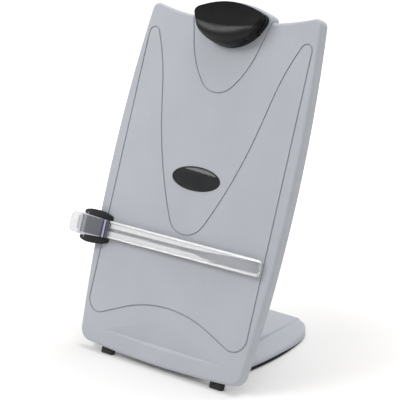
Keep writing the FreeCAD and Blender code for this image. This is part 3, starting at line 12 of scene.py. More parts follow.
import bpy
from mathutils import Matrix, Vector


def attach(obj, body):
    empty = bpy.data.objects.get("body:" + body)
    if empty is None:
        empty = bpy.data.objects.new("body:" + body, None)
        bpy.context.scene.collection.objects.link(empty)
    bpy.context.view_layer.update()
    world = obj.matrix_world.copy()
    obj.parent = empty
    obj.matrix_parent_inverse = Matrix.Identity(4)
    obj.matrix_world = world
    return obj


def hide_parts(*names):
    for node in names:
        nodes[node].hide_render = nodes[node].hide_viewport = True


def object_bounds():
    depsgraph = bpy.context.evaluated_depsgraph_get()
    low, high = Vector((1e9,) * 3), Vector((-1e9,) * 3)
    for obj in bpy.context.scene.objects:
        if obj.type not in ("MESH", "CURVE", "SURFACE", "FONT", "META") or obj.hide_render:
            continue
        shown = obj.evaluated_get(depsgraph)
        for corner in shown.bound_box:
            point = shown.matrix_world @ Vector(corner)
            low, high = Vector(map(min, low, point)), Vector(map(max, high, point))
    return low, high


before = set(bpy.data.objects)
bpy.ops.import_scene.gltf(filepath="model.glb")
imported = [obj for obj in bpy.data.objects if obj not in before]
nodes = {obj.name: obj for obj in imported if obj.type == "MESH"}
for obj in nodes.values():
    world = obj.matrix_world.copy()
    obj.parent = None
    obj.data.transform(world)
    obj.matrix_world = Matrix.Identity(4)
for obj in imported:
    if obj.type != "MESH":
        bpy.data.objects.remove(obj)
cad_low, cad_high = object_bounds()
print("loaded", len(nodes), "nodes, from", tuple(cad_low), "to", tuple(cad_high))

# %% [markdown]
# A finish is more than one colour. A moulding has a fine grain etched into its tool, a
# slightly uneven tone where the melt flowed, and a gloss that changes with handling.
# Each of those is a noise pattern of its own size, so a small helper builds the chain:
# texture coordinates, a noise, a ramp, and a link into the surface shader.

# %% Helpers for materials
MM = 0.001
PATTERN_LOW = 0.3
PATTERN_HIGH = 0.7


def new_material(name):
    """A material, its node tree and its surface shader."""
    material = bpy.data.materials.new(name)
    material.use_nodes = True
    return material, material.node_tree, material.node_tree.nodes["Principled BSDF"]


def noise(tree, size, detail=3.0, stretch=(1.0, 1.0, 1.0)):
    """A noise in the object's own coordinates whose lumps measure about size metres."""
    where = tree.nodes.new("ShaderNodeTexCoord")
    mapping = tree.nodes.new("ShaderNodeMapping")
    mapping.inputs["Scale"].default_value = stretch
    texture = tree.nodes.new("ShaderNodeTexNoise")
    texture.inputs["Scale"].default_value = 1.0 / size
    texture.inputs["Detail"].default_value = detail
    tree.links.new(where.outputs["Object"], mapping.inputs["Vector"])
    tree.links.new(mapping.outputs["Vector"], texture.inputs["Vector"])
    return texture.outputs["Fac"]


def between(tree, value, low, high):
    """Maps the middle values of a pattern onto the range from low to high."""
    ranger = tree.nodes.new("ShaderNodeMapRange")
    ranger.inputs["From Min"].default_value = PATTERN_LOW
    ranger.inputs["From Max"].default_value = PATTERN_HIGH
    ranger.inputs["To Min"].default_value = low
    ranger.inputs["To Max"].default_value = high
    tree.links.new(value, ranger.inputs["Value"])
    return ranger.outputs["Result"]


def combine(tree, operation, *values):
    """A chain of one arithmetic step over sockets and plain numbers."""
    result = values[0]
    for value in values[1:]:
        step = tree.nodes.new("ShaderNodeMath")
        step.operation = operation
        for socket, term in zip(step.inputs, (result, value)):
            if isinstance(term, (int, float)):
                socket.default_value = term
            else:
                tree.links.new(term, socket)
        result = step.outputs["Value"]
    return result


def tones(tree, value, dark, light):
    """Blends two colours by a pattern."""
    ramp = tree.nodes.new("ShaderNodeValToRGB")
    ramp.color_ramp.elements[0].position = PATTERN_LOW
    ramp.color_ramp.elements[1].position = PATTERN_HIGH
    ramp.color_ramp.elements[0].color = (*dark, 1.0)
    ramp.color_ramp.elements[1].color = (*light, 1.0)
    tree.links.new(value, ramp.inputs["Fac"])
    return ramp.outputs["Color"]


def grain(tree, shader, size, depth, detail=2.0, stretch=(1.0, 1.0, 1.0)):
    """A raised grain: size is the width of its lumps, and depth their height, in metres."""
    bump = tree.nodes.new("ShaderNodeBump")
    bump.inputs["Distance"].default_value = depth
    tree.links.new(noise(tree, size, detail, stretch), bump.inputs["Height"])
    tree.links.new(bump.outputs["Normal"], shader.inputs["Normal"])


# %% [markdown]
# A moulding that has been handled carries faint scuffs. They are a noise drawn out in one
# direction, which lifts the colour a little and breaks the gloss. The gloss itself varies
# over patches that are smaller than those of the tone.

# %% A moulded plastic
SCUFF_WIDTH = 1.2 * MM
SCUFF_DETAIL = 4.0
SCUFF_STRETCH = (1.0, 0.12, 0.12)
SCUFF_LEVEL = 0.05
SCUFF_LIFT = 1.5
TONE_TO_GLOSS = 4


def moulding(name, dark, light, rough, grain_size, grain_depth, patch=60 * MM):
    """A plastic moulding: large soft patches, faint scuffs, a fine grain and uneven gloss."""
    material, tree, shader = new_material(name)
    scuffs = between(tree, noise(tree, SCUFF_WIDTH, SCUFF_DETAIL, SCUFF_STRETCH),
                     0.0, SCUFF_LEVEL)
    coat = tree.nodes.new("ShaderNodeMix")
    coat.data_type = "RGBA"
    tree.links.new(scuffs, coat.inputs["Factor"])
    tree.links.new(tones(tree, noise(tree, patch), dark, light), coat.inputs["A"])
    coat.inputs["B"].default_value = (*[min(1.0, value * SCUFF_LIFT) for value in light], 1.0)
    tree.links.new(coat.outputs["Result"], shader.inputs["Base Color"])
    gloss = between(tree, noise(tree, patch / TONE_TO_GLOSS), *rough)
    tree.links.new(combine(tree, "SUBTRACT", gloss, scuffs), shader.inputs["Roughness"])
    grain(tree, shader, grain_size, grain_depth)
    return material


# %% [markdown]
# Some looks belong to a place on the board: the painted glow bands along the guide, or
# the etched scoop of the lever. The board leans back, so its own across, up and out
# directions are found by turning the object's coordinates. Soft steps along them then draw a
# band.

# %% Helpers for places on the leaning board
BOARD_LEAN = math.radians(21.0)
BOARD_MIDDLE = 16.35 * MM
BOARD_FOOT = 30.31 * MM
BOARD_FACE = 97.10 * MM


def board_place(tree):
    """Across, up and out of the board's face, in metres, from the object's coordinates."""
    where = tree.nodes.new("ShaderNodeTexCoord")
    turn = tree.nodes.new("ShaderNodeMapping")
    turn.inputs["Rotation"].default_value = (BOARD_LEAN - math.pi / 2, 0, 0)
    turn.inputs["Location"].default_value = (-BOARD_MIDDLE, BOARD_FOOT, -BOARD_FACE)
    split = tree.nodes.new("ShaderNodeSeparateXYZ")
    tree.links.new(where.outputs["Object"], turn.inputs["Vector"])
    tree.links.new(turn.outputs["Vector"], split.inputs["Vector"])
    return split.outputs["X"], split.outputs["Y"], split.outputs["Z"]


def follow(tree, value, points):
    """A broken line through (value, result) points, with soft bends."""
    ranges = []
    for (x0, y0), (x1, y1) in zip(points, points[1:]):
        part = tree.nodes.new("ShaderNodeMapRange")
        part.interpolation_type = "SMOOTHSTEP"
        part.inputs["From Min"].default_value = x0
        part.inputs["From Max"].default_value = x1
        part.inputs["To Min"].default_value = 0.0
        part.inputs["To Max"].default_value = y1 - y0
        tree.links.new(value, part.inputs["Value"])
        ranges.append(part.outputs["Result"])
    return combine(tree, "ADD", points[0][1], *ranges)


def past(tree, value, edge, soft=0.5 * MM):
    """Nought below the edge and one above it. The edge is a number or a socket."""
    far = combine(tree, "SUBTRACT", value, edge)
    ranger = tree.nodes.new("ShaderNodeMapRange")
    ranger.interpolation_type = "SMOOTHSTEP"
    ranger.inputs["From Min"].default_value = -soft
    ranger.inputs["From Max"].default_value = soft
    tree.links.new(far, ranger.inputs["Value"])
    return ranger.outputs["Result"]


def stripe(tree, value, low, high, soft=0.3 * MM):
    """One between low and high, nought outside."""
    return combine(tree, "SUBTRACT", past(tree, value, low, soft), past(tree, value, high, soft))


def short_of(tree, value, edge, soft=0.5 * MM):
    """One below the edge and nought above it."""
    return combine(tree, "SUBTRACT", 1.0, past(tree, value, edge, soft))


# %% [markdown]
# ## The finishes
#
# The board and the foot are one grey, moulded in a tool with a fine spark-eroded grain.
# The slider is a satin black, and the hidden mouldings are a plainer one. All of them are
# matt plastics that mirror little of a white room, so their reflection is turned down.

# %% Grey and black mouldings
board_grey = moulding("board_grey", (0.436, 0.456, 0.492), (0.464, 0.484, 0.522),
                      (0.5, 0.6), 0.35 * MM, 0.012 * MM)
slider_black = moulding("slider_black", (0.022, 0.022, 0.025), (0.030, 0.030, 0.034),
                        (0.42, 0.5), 0.3 * MM, 0.01 * MM, 15 * MM)
plain_black = moulding("plain_black", (0.010, 0.010, 0.012), (0.016, 0.016, 0.018),
                       (0.5, 0.62), 0.4 * MM, 0.012 * MM, 15 * MM)
nylon = moulding("nylon", (0.6, 0.59, 0.54), (0.68, 0.67, 0.62),
                 (0.4, 0.5), 0.5 * MM, 0.005 * MM, 4 * MM)
for finish, shine in ((board_grey, 0.15), (slider_black, 0.12), (plain_black, 0.15)):
    finish.node_tree.nodes["Principled BSDF"].inputs["Specular IOR Level"].default_value = shine
print("mouldings:", [m.name for m in (board_grey, slider_black, plain_black, nylon)])

# %% [markdown]
# The lever is the deepest black on the holder. Its bulge is smooth enough to carry a soft
# highlight, while the thumb scoop above the crease is etched deeper, for grip, and stays
# flat and dark. Two tools would give this with a masked etch. Here the roughness goes up
# past a line that follows the crease.

# %% Lever's black
CREASE_LINE = ((-36 * MM, 370.4 * MM), (-14 * MM, 367.3 * MM), (4 * MM, 366.4 * MM),
               (22 * MM, 367.3 * MM), (44 * MM, 370.4 * MM))
CREASE_SOFT = 1.0 * MM
SCOOP_ROUGHER = 0.45
lever_black = moulding("lever_black", (0.003, 0.003, 0.004), (0.005, 0.005, 0.006),
                       (0.33, 0.40), 0.3 * MM, 0.010 * MM, 20 * MM)
tree = lever_black.node_tree
shader = tree.nodes["Principled BSDF"]
shader.inputs["Specular IOR Level"].default_value = 0.22
across, up, _ = board_place(tree)
in_scoop = past(tree, up, follow(tree, across, CREASE_LINE), CREASE_SOFT)
gloss = shader.inputs["Roughness"].links[0].from_socket
gloss = combine(tree, "ADD", gloss, combine(tree, "MULTIPLY", in_scoop, SCOOP_ROUGHER))
tree.links.new(gloss, shader.inputs["Roughness"])
print("lever_black has", len(tree.nodes), "nodes")

# %% [markdown]
# The badge is a domed drop of clear resin over black, in a thin polished rim. A clear
# coat over a dark base gives the same sharp glint. The face stays bare.

# %% Polished badge and its rim
badge_black, tree, shader = new_material("badge_black")
tree.links.new(tones(tree, noise(tree, 12 * MM), (0.010, 0.011, 0.013), (0.016, 0.017, 0.020)),
               shader.inputs["Base Color"])
tree.links.new(between(tree, noise(tree, 5 * MM), 0.05, 0.10), shader.inputs["Roughness"])
shader.inputs["Specular IOR Level"].default_value = 0.15
shader.inputs["Coat Weight"].default_value = 0.2
shader.inputs["Coat Roughness"].default_value = 0.04
grain(tree, shader, 4 * MM, 0.006 * MM)

rim_black, tree, shader = new_material("rim_black")
tree.links.new(tones(tree, noise(tree, 3 * MM), (0.018, 0.020, 0.024), (0.028, 0.030, 0.034)),
               shader.inputs["Base Color"])
tree.links.new(between(tree, noise(tree, 1.5 * MM), 0.14, 0.24), shader.inputs["Roughness"])
shader.inputs["Specular IOR Level"].default_value = 0.2
grain(tree, shader, 0.5 * MM, 0.004 * MM)
print("badge and rim:", badge_black.name, rim_black.name)

# %% [markdown]
# Screws are zinc plated, with a dull even grey, while the pins and the spring are drawn
# wire and strip, with streaks along their length. The feet and pads are soft black
# rubber, rough and grainy, and the brake is pressed felt, whose fibres catch the light as
# a faint sheen.


# %% Steel, rubber and felt
def steel(name, dark, light, rough, stretch):
    """Drawn or plated steel: fine streaks along one direction."""
    material, tree, shader = new_material(name)
    tree.links.new(tones(tree, noise(tree, 2 * MM), dark, light), shader.inputs["Base Color"])
    tree.links.new(between(tree, noise(tree, 0.8 * MM, 2.0, stretch), *rough),
                   shader.inputs["Roughness"])
    shader.inputs["Metallic"].default_value = 1.0
    grain(tree, shader, 0.4 * MM, 0.004 * MM, 2.0, stretch)
    return material


plated_steel = steel("plated_steel", (0.32, 0.32, 0.31), (0.42, 0.42, 0.4),
                     (0.3, 0.42), (1, 1, 1))
drawn_steel = steel("drawn_steel", (0.5, 0.5, 0.5), (0.6, 0.6, 0.6),
                    (0.2, 0.32), (0.1, 1, 1))

rubber, tree, shader = new_material("rubber")
tree.links.new(tones(tree, noise(tree, 6 * MM), (0.012, 0.012, 0.012), (0.022, 0.021, 0.02)),
               shader.inputs["Base Color"])
tree.links.new(between(tree, noise(tree, 2 * MM), 0.75, 0.9), shader.inputs["Roughness"])
grain(tree, shader, 0.5 * MM, 0.03 * MM)

felt, tree, shader = new_material("felt")
tree.links.new(tones(tree, noise(tree, 0.6 * MM, 4.0), (0.02, 0.02, 0.022), (0.07, 0.07, 0.075)),
               shader.inputs["Base Color"])
tree.links.new(between(tree, noise(tree, 1 * MM), 0.9, 1.0), shader.inputs["Roughness"])
shader.inputs["Sheen Weight"].default_value = 0.4
grain(tree, shader, 0.4 * MM, 0.15 * MM, 4.0)
print("metals and soft finishes:", [m.name for m in (plated_steel, drawn_steel, rubber, felt)])

# %% [markdown]
# Clear acrylic is a glass with a low roughness. Light that enters the faces of a real
# guide is led out at its rims, so they glow white while the thin web between them stays
# clear. That glow is painted here: bands along the guide mix a lit white into the glass,
# and a trace of it lightens the web as painted light. The block is smoky, with a painted
# highlight on its rims and along one glint line, and two deep lines of painted shade
# cross it where its inner walls show through; a dark bar of painted shade sits at the
# tab's root. All of these places are given across and up the board, so the marks keep
# to the piece in any view.

# %% Places on the guide
ARM_START = -96.5 * MM
BLOCK_START = -139.2 * MM
# Painted glow: the edges of the white bands along the arm's upper and lower rails.
UPPER_BAND = ((-90 * MM, 130.4 * MM), (10 * MM, 129.8 * MM), (105 * MM, 133.4 * MM))
LOWER_BAND = ((-90 * MM, 127.0 * MM), (18 * MM, 126.0 * MM), (52 * MM, 121.4 * MM))
# Painted shade: the two dark lines across the block where its inner walls show through.
BLOCK_LINES = ((-105.2 * MM, -102.6 * MM), (-100.0 * MM, -97.5 * MM))
# Painted highlight: the glint line across the block, and the bounds of its light rims.
BLOCK_GLINT = (-102.3 * MM, -100.3 * MM)
BLOCK_RIM_END = -135.6 * MM
BLOCK_TOP = 138.6 * MM
BLOCK_BOTTOM = 119.2 * MM
# Painted shade: a dark bar at the tab's root.
POCKET = ((-142.8 * MM, -140.4 * MM), (121.4 * MM, 137.0 * MM))
BAND_DEPTH = 3.6 * MM
UPPER_SOFT = 0.9 * MM
LOWER_SOFT = 1.6 * MM
print("the block is", round((ARM_START - BLOCK_START) / MM, 1), "mm long")

# %% [markdown]
# How much lit white is mixed into the glass at a place: nearly all at the rims of the arm
# and a trace in its web, both painted light, and about half in the tab.

# %% Clear acrylic
# Shares of lit white in the glass: the arm's rail bands are painted glow, its web painted light,
# the block's rims a painted highlight, and the pocket bar painted shade.
PAINTED_BAND_GLOW = 0.88
PAINTED_WEB_LIGHT = 0.12
BLOCK_MILK = 0.65
PAINTED_RIM_HIGHLIGHT = 0.82
TAB_MILK = 0.55
POCKET_SHADE = 0.6
# The block's smoke, the light grey of its painted rim highlight, and the dark blue of its
# painted shade lines.
SMOKE = (0.155, 0.16, 0.185)
RIM_HIGHLIGHT_GREY = (0.56, 0.56, 0.62)
WALL_SHADE_COLOUR = (0.03, 0.025, 0.09)

acrylic, tree, glass = new_material("acrylic")
tree.links.new(tones(tree, noise(tree, 30 * MM), (0.94, 0.943, 0.95), (0.96, 0.963, 0.97)),
               glass.inputs["Base Color"])
tree.links.new(between(tree, noise(tree, 8 * MM), 0.03, 0.07), glass.inputs["Roughness"])
glass.inputs["Transmission Weight"].default_value = 1.0
glass.inputs["IOR"].default_value = 1.49
grain(tree, glass, 6 * MM, 0.002 * MM)

across, up, out = board_place(tree)
on_arm = past(tree, across, ARM_START)
upper = past(tree, up, follow(tree, across, UPPER_BAND), UPPER_SOFT)
lower = short_of(tree, up, follow(tree, across, LOWER_BAND), LOWER_SOFT)
# Painted glow on the arm's rails, with a trace of painted light in the web, kept to the arm's
# front.
painted_glow_bands = combine(tree, "MULTIPLY", combine(tree, "MAXIMUM", upper, lower), PAINTED_BAND_GLOW)
painted_glow_bands = combine(tree, "MULTIPLY", combine(tree, "MAXIMUM", painted_glow_bands, PAINTED_WEB_LIGHT), on_arm,
                past(tree, out, BAND_DEPTH))

on_block = stripe(tree, across, BLOCK_START, ARM_START)
# Painted highlight on the block's end rim, its glint line and its top and bottom rims.
rim = combine(tree, "MAXIMUM",
              stripe(tree, across, BLOCK_START, BLOCK_RIM_END),
              stripe(tree, across, *BLOCK_GLINT),
              past(tree, up, BLOCK_TOP), short_of(tree, up, BLOCK_BOTTOM))
# Painted shade: a dark bar in the tab's pocket, and two dark lines on the block where its inner
# walls show through.
pocket = combine(tree, "MULTIPLY",
                 stripe(tree, across, *POCKET[0]), stripe(tree, up, *POCKET[1]))
shade_lines = combine(tree, "MAXIMUM", *[stripe(tree, across, *line) for line in BLOCK_LINES])
painted_wall_shade = combine(tree, "MAXIMUM", combine(tree, "MULTIPLY", shade_lines, on_block),
              combine(tree, "MULTIPLY", pocket, POCKET_SHADE))
# The block takes its smoke, and more lit white where the painted rim highlight lies.
smoke_and_rim_highlight = combine(tree, "MAXIMUM", BLOCK_MILK, combine(tree, "MULTIPLY", rim, PAINTED_RIM_HIGHLIGHT))
tab_milk = combine(tree, "MULTIPLY", short_of(tree, across, BLOCK_START), TAB_MILK)
# Smoke, painted rim highlight, painted shade lines and the tab, mixed into the glass.
smoke_tab_and_painted_light = combine(tree, "MAXIMUM",
               combine(tree, "MULTIPLY", on_block, smoke_and_rim_highlight), painted_wall_shade, tab_milk)


def painted(under, over, factor):
    """One colour laid over another by a factor."""
    coat = tree.nodes.new("ShaderNodeMix")
    coat.data_type = "RGBA"
    tree.links.new(under, coat.inputs["A"])
    coat.inputs["B"].default_value = (*over, 1.0)
    tree.links.new(factor, coat.inputs["Factor"])
    return coat.outputs["Result"]


# The painted coat over the glass: white for the painted glow, smoke on the block, light grey for
# the painted rim highlight and dark blue for the painted shade.
lit = tree.nodes.new("ShaderNodeBsdfPrincipled")
lit.inputs["Roughness"].default_value = 0.3
colour = tones(tree, noise(tree, 10 * MM), (0.80, 0.805, 0.82), (0.86, 0.865, 0.875))
colour = painted(colour, SMOKE, on_block)
colour = painted(colour, RIM_HIGHLIGHT_GREY, combine(tree, "MULTIPLY", rim, on_block))
colour = painted(colour, WALL_SHADE_COLOUR, painted_wall_shade)
tree.links.new(colour, lit.inputs["Base Color"])
grain(tree, lit, 6 * MM, 0.002 * MM)
blend = tree.nodes.new("ShaderNodeMixShader")
tree.links.new(combine(tree, "MAXIMUM", painted_glow_bands, smoke_tab_and_painted_light), blend.inputs["Fac"])
tree.links.new(glass.outputs["BSDF"], blend.inputs[1])
tree.links.new(lit.outputs["BSDF"], blend.inputs[2])
tree.links.new(blend.outputs["Shader"], tree.nodes["Material Output"].inputs["Surface"])
print("acrylic has", len(tree.nodes), "nodes")

# %% [markdown]
# Every node of the frame gets one finish, also the hidden ones, because they come to
# light when the board folds back.

# %% Give every piece of the frame its finish
FINISHES = {
    "front_board": board_grey, "back_cover": board_grey, "base_foot": board_grey,
    "clip_jaw": lever_black, "clip_mount": plain_black, "clip_pad": rubber,
    "slider_body": slider_black, "slider_back_plate": slider_black, "slider_felt": felt,
    "badge_plate": badge_black, "badge_bezel": rim_black, "line_guide": acrylic,
    "base_tray": plain_black, "base_pads": rubber, "front_feet": rubber,
    "hinge_bracket_left": plain_black, "hinge_bracket_right": plain_black,
    "hinge_pin": drawn_steel, "hinge_pin_clip": plated_steel, "hinge_washers": nylon,
    "clip_pin": drawn_steel, "clip_spring": drawn_steel, "guide_stubs": drawn_steel,
    "clip_screws": plated_steel, "cover_screws": plated_steel, "bracket_screws": plated_steel,
    "slider_screws": plated_steel, "base_screws": plated_steel,
}
for node_name, finish in FINISHES.items():
    mesh = nodes[node_name].data
    mesh.materials.clear()
    mesh.materials.append(finish)
print("finished nodes:", len(FINISHES), "of", len(nodes))

# %% [markdown]
# ## Pieces modelled over the frame
#
# The next pieces replace nodes of the frame. A few small helpers do what a hand does in
# edit mode: clear the selection, pick faces or edges by where they lie, and set the
# finished piece down on the leaning board with its place in its mesh.

# %% Helpers for modelling
WELD = 0.002 * MM
SMOOTH_ANGLE = math.radians(40)


def clear_selection():
    """Nothing selected, in object mode."""
    if bpy.context.object and bpy.context.object.mode != "OBJECT":
        bpy.ops.object.mode_set(mode="OBJECT")
    bpy.ops.object.select_all(action="DESELECT")


def add_block(name, low, high):
    """A box between two corners, with its place and size in its mesh."""
    clear_selection()
    centre = [(a + b) / 2 for a, b in zip(low, high)]
    size = [b - a for a, b in zip(low, high)]
    bpy.ops.mesh.primitive_cube_add(size=1, location=centre, scale=size)
    block = bpy.context.object
    block.name = name
    bpy.ops.object.transform_apply(location=True, rotation=True, scale=True)
    return block


def middle_of(piece, part):
    """The middle of a face or an edge."""
    points = [piece.data.vertices[i].co for i in part.vertices]
    return sum(points, Vector()) / len(points)


def pick(piece, kind, test):
    """Selects the faces or edges whose middle passes the test, in edit mode."""
    bpy.ops.object.mode_set(mode="EDIT")
    bpy.ops.mesh.select_mode(type=kind)
    bpy.ops.mesh.select_all(action="DESELECT")
    bpy.ops.object.mode_set(mode="OBJECT")
    parts = piece.data.polygons if kind == "FACE" else piece.data.edges
    for part in parts:
        part.select = test(middle_of(piece, part))
    bpy.ops.object.mode_set(mode="EDIT")


def copy_of(node_name, name):
    """A welded copy of a node of the frame, selected and active."""
    clear_selection()
    piece = nodes[node_name].copy()
    piece.data = nodes[node_name].data.copy()
    piece.name = name
    piece.parent = None
    bpy.context.scene.collection.objects.link(piece)
    piece.select_set(True)
    bpy.context.view_layer.objects.active = piece
    bpy.ops.object.mode_set(mode="EDIT")
    bpy.ops.mesh.select_all(action="SELECT")
    bpy.ops.mesh.remove_doubles(threshold=WELD)
    bpy.ops.object.mode_set(mode="OBJECT")
    return piece


def set_on_board(piece):
    """Turns a piece from across, up and out of the face to its place in the frame."""
    piece.rotation_euler.x = math.pi / 2 - BOARD_LEAN
    sine, cosine = math.sin(BOARD_LEAN), math.cos(BOARD_LEAN)
    piece.location = (BOARD_MIDDLE,
                      -BOARD_FOOT * sine - BOARD_FACE * cosine,
                      -BOARD_FOOT * cosine + BOARD_FACE * sine)
    bpy.ops.object.transform_apply(location=True, rotation=True, scale=True)


def give_finish(piece, finish):
    """Puts one finish on a piece and prints how many faces it has."""
    piece.data.materials.clear()
    piece.data.materials.append(finish)
    print(piece.name, "faces", len(piece.data.polygons))


def soften(piece, width, segments, angle, finish):
    """Rounds the sharp edges, smooths the shading and gives the piece its finish."""
    bevel = piece.modifiers.new("edge", "BEVEL")
    bevel.width = width
    bevel.segments = segments
    bevel.limit_method = "ANGLE"
    bevel.angle_limit = math.radians(angle)
    bevel.harden_normals = False
    bpy.ops.object.modifier_apply(modifier=bevel.name)
    bpy.ops.object.shade_smooth_by_angle(angle=SMOOTH_ANGLE)
    give_finish(piece, finish)


# %% [markdown]
# The guide's block and tab keep the frame's shape, with its bores and its slope. The
# frame's arm is cut off a welded copy, and the fresh cut is closed.

# %% Guide block and tab
ARM_LOW = (-97.0 * MM, 120.5 * MM, 2.6 * MM)
ARM_HIGH = (106.0 * MM, 137.2 * MM, 5.5 * MM)
ARM_LAP = 0.1 * MM
block = copy_of("line_guide", "guide_block")
bpy.ops.object.mode_set(mode="EDIT")
bpy.ops.mesh.select_all(action="SELECT")
cut_x = BOARD_MIDDLE + ARM_LOW[0] + ARM_LAP
bpy.ops.mesh.bisect(plane_co=(cut_x, 0, 0), plane_no=(1, 0, 0), use_fill=True, clear_outer=True)
bpy.ops.object.mode_set(mode="OBJECT")
soften(block, 0.12 * MM, 2, 35, acrylic)
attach(block, "guide")
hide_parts("line_guide")

# %% [markdown]
# The guide's arm is one bar of clear acrylic: two thick rails with a thin web between
# them. Its far end is a little lower and narrower. A box has that end moved, gets its
# corners rounded, its front face is inset to the width of the rails, and the middle is
# pushed in to leave the web.

# %% Guide arm
ARM_CORNER = 2.4 * MM
ARM_DROP = 2.1 * MM
ARM_TAPER = 0.86
ARM_EDGE = 0.8 * MM
RAIL_WIDTH = 2.6 * MM
WEB_DEPTH = 1.4 * MM
RAIL_SLOPE = 1.2 * MM
NEAR = 0.01 * MM

arm = add_block("guide_arm", ARM_LOW, ARM_HIGH)
half_depth = (ARM_LOW[2] + ARM_HIGH[2]) / 2
pick(arm, "EDGE", lambda m: m.x > ARM_HIGH[0] - MM and abs(m.z - half_depth) < NEAR)
bpy.ops.transform.translate(value=(0, -ARM_DROP, 0))
bpy.ops.transform.resize(value=(1, ARM_TAPER, 1))
bpy.ops.mesh.bevel(offset=ARM_CORNER, segments=5)
pick(arm, "FACE", lambda m: m.z > ARM_HIGH[2] - NEAR)
bpy.ops.mesh.bevel(offset=ARM_EDGE, segments=2)
bpy.ops.mesh.inset(thickness=RAIL_WIDTH)
bpy.ops.mesh.inset(thickness=RAIL_SLOPE, depth=-WEB_DEPTH)
bpy.ops.object.mode_set(mode="OBJECT")
set_on_board(arm)
soften(arm, 0.15 * MM, 2, 35, acrylic)
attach(arm, "guide")

# %% [markdown]
# The lever is blown full below its crease, like a cushion. By hand this is a pull on the
# front with a soft falloff. Here the pull is a rule in the board's own directions: it
# grows with the distance below the crease, drops at the round lower rim, and fades
# towards both ends of the lever.

# %% How full the lever is
LEVER_MIDDLE = 4.0 * MM
RIM_RADIUS = 47.5 * MM
RIM_CENTRE = 393.8 * MM
CREASE_LOW = 366.6 * MM
CREASE_RADIUS = 167.0 * MM
SWELL = 0.62
SWELL_FALL = 5
SWELL_CENTRE = -2.0 * MM
SWELL_HALF = 50.0 * MM
OUTWARDS = Vector((0, -math.cos(BOARD_LEAN), math.sin(BOARD_LEAN)))
UPWARDS = Vector((0, math.sin(BOARD_LEAN), math.cos(BOARD_LEAN)))


def swell_at(point):
    """How far the lever's front is pushed out at a point of its mesh."""
    across, up = point.x - BOARD_MIDDLE, point.dot(UPWARDS) + BOARD_FOOT
    inside = RIM_RADIUS - math.hypot(across - LEVER_MIDDLE, up - RIM_CENTRE)
    below = CREASE_LOW + (across - LEVER_MIDDLE) ** 2 / (2 * CREASE_RADIUS) - up
    aside = abs(across - SWELL_CENTRE) / SWELL_HALF
    if inside <= 0 or below <= 0 or aside >= 1:
        return 0.0
    fall = math.sqrt(1 - (below / (inside + below)) ** SWELL_FALL)
    return SWELL * below * fall * math.cos(aside * math.pi / 2)


# %% [markdown]
# A welded copy of the frame's lever is divided into an even fine skin, because a swell
# needs points to move. Only points on the outer front are pushed: a ray from each one
# tells whether more of the lever lies before it. Smoothing the front then rounds its
# edges as a mould does, and keeps the crease crisp to the eye.

# %% Lever
SKIN = 0.5 * MM
WALL = 1.5 * MM
FACING_LEAST = 0.1
FACING_SPAN = 0.35
SMOOTH_TIMES = 6
LEVER_BACK = BOARD_FACE + 6.0 * MM

lever = copy_of("clip_jaw", "lever_shell")
lever.data.remesh_voxel_size = SKIN
bpy.ops.object.voxel_remesh()
pushes = []
for point in lever.data.vertices:
    facing = point.normal.dot(OUTWARDS) - FACING_LEAST
    if facing > 0 and not lever.ray_cast(point.co + OUTWARDS * WALL, OUTWARDS)[0]:
        pushes.append((point, swell_at(point.co) * min(1.0, facing / FACING_SPAN)))
for point, push in pushes:
    point.co += OUTWARDS * push
pick(lever, "FACE", lambda m: m.dot(OUTWARDS) > LEVER_BACK)
bpy.ops.mesh.vertices_smooth(factor=0.5, repeat=SMOOTH_TIMES)
bpy.ops.object.mode_set(mode="OBJECT")
print("lever points pushed:", sum(push > 0 for _, push in pushes),
      "by up to", round(max(push for _, push in pushes) / MM, 2), "mm")

# %% [markdown]
# The even skin cuts the corners of the lever's small bore, and there the lever would
# touch its pin. So the points of the bore are moved away from the pin's own middle line,
# until the pin has its play again.

# %% Lever's bore and finish
PIN_PLAY = 0.08 * MM

pin = nodes["clip_pin"]
corners = [pin.matrix_world @ Vector(corner) for corner in pin.bound_box]
pin_low = Vector([min(corner[k] for corner in corners) for k in range(3)])
pin_high = Vector([max(corner[k] for corner in corners) for k in range(3)])
pin_middle = (pin_low + pin_high) / 2
bore_radius = (pin_high.z - pin_low.z) / 2 + PIN_PLAY
for point in lever.data.vertices:
    spoke = Vector((0, point.co.y - pin_middle.y, point.co.z - pin_middle.z))
    if pin_low.x < point.co.x < pin_high.x and 0 < spoke.length < bore_radius:
        point.co += spoke.normalized() * (bore_radius - spoke.length)
clear_selection()
lever.select_set(True)
bpy.context.view_layer.objects.active = lever
bpy.ops.object.shade_smooth()
give_finish(lever, lever_black)
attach(lever, "clip")
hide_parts("clip_jaw")

# %% [markdown]
# The front feet are small rubber blocks that lean with the board and stand flat on the
# desk. Moulded rubber has no sharp edge, so a welded copy gets the same rounding.

# %% Front feet
feet = copy_of("front_feet", "soft_feet")
soften(feet, 0.5 * MM, 3, 30, rubber)
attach(feet, "board")
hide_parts("front_feet")

# %% [markdown]
# ## The stage
#
# The holder stands on a white floor that runs on out of sight. To the eye the lit floor
# is pure white, so a little glow is added that grows with the distance. Camera rays see
# it, and so do the rays that gloss and glass send out. It lights nothing, and the soft
# shadow round the foot still shows.

# %% Floor
FLOOR_SIZE = 12.0
FLOOR_GLOW = ((0.14, 0.0), (0.45, 0.35), (1.0, 0.5))
FLOOR_COLOUR = (0.86, 0.85, 0.842)

clear_selection()
bpy.ops.mesh.primitive_plane_add(size=FLOOR_SIZE, location=(0, 0, 0))
floor = bpy.context.object
floor.name = "floor"
floor_white, tree, shader = new_material("floor_white")
shader.inputs["Base Color"].default_value = (*FLOOR_COLOUR, 1.0)
shader.inputs["Roughness"].default_value = 0.9
shader.inputs["Specular IOR Level"].default_value = 0.1


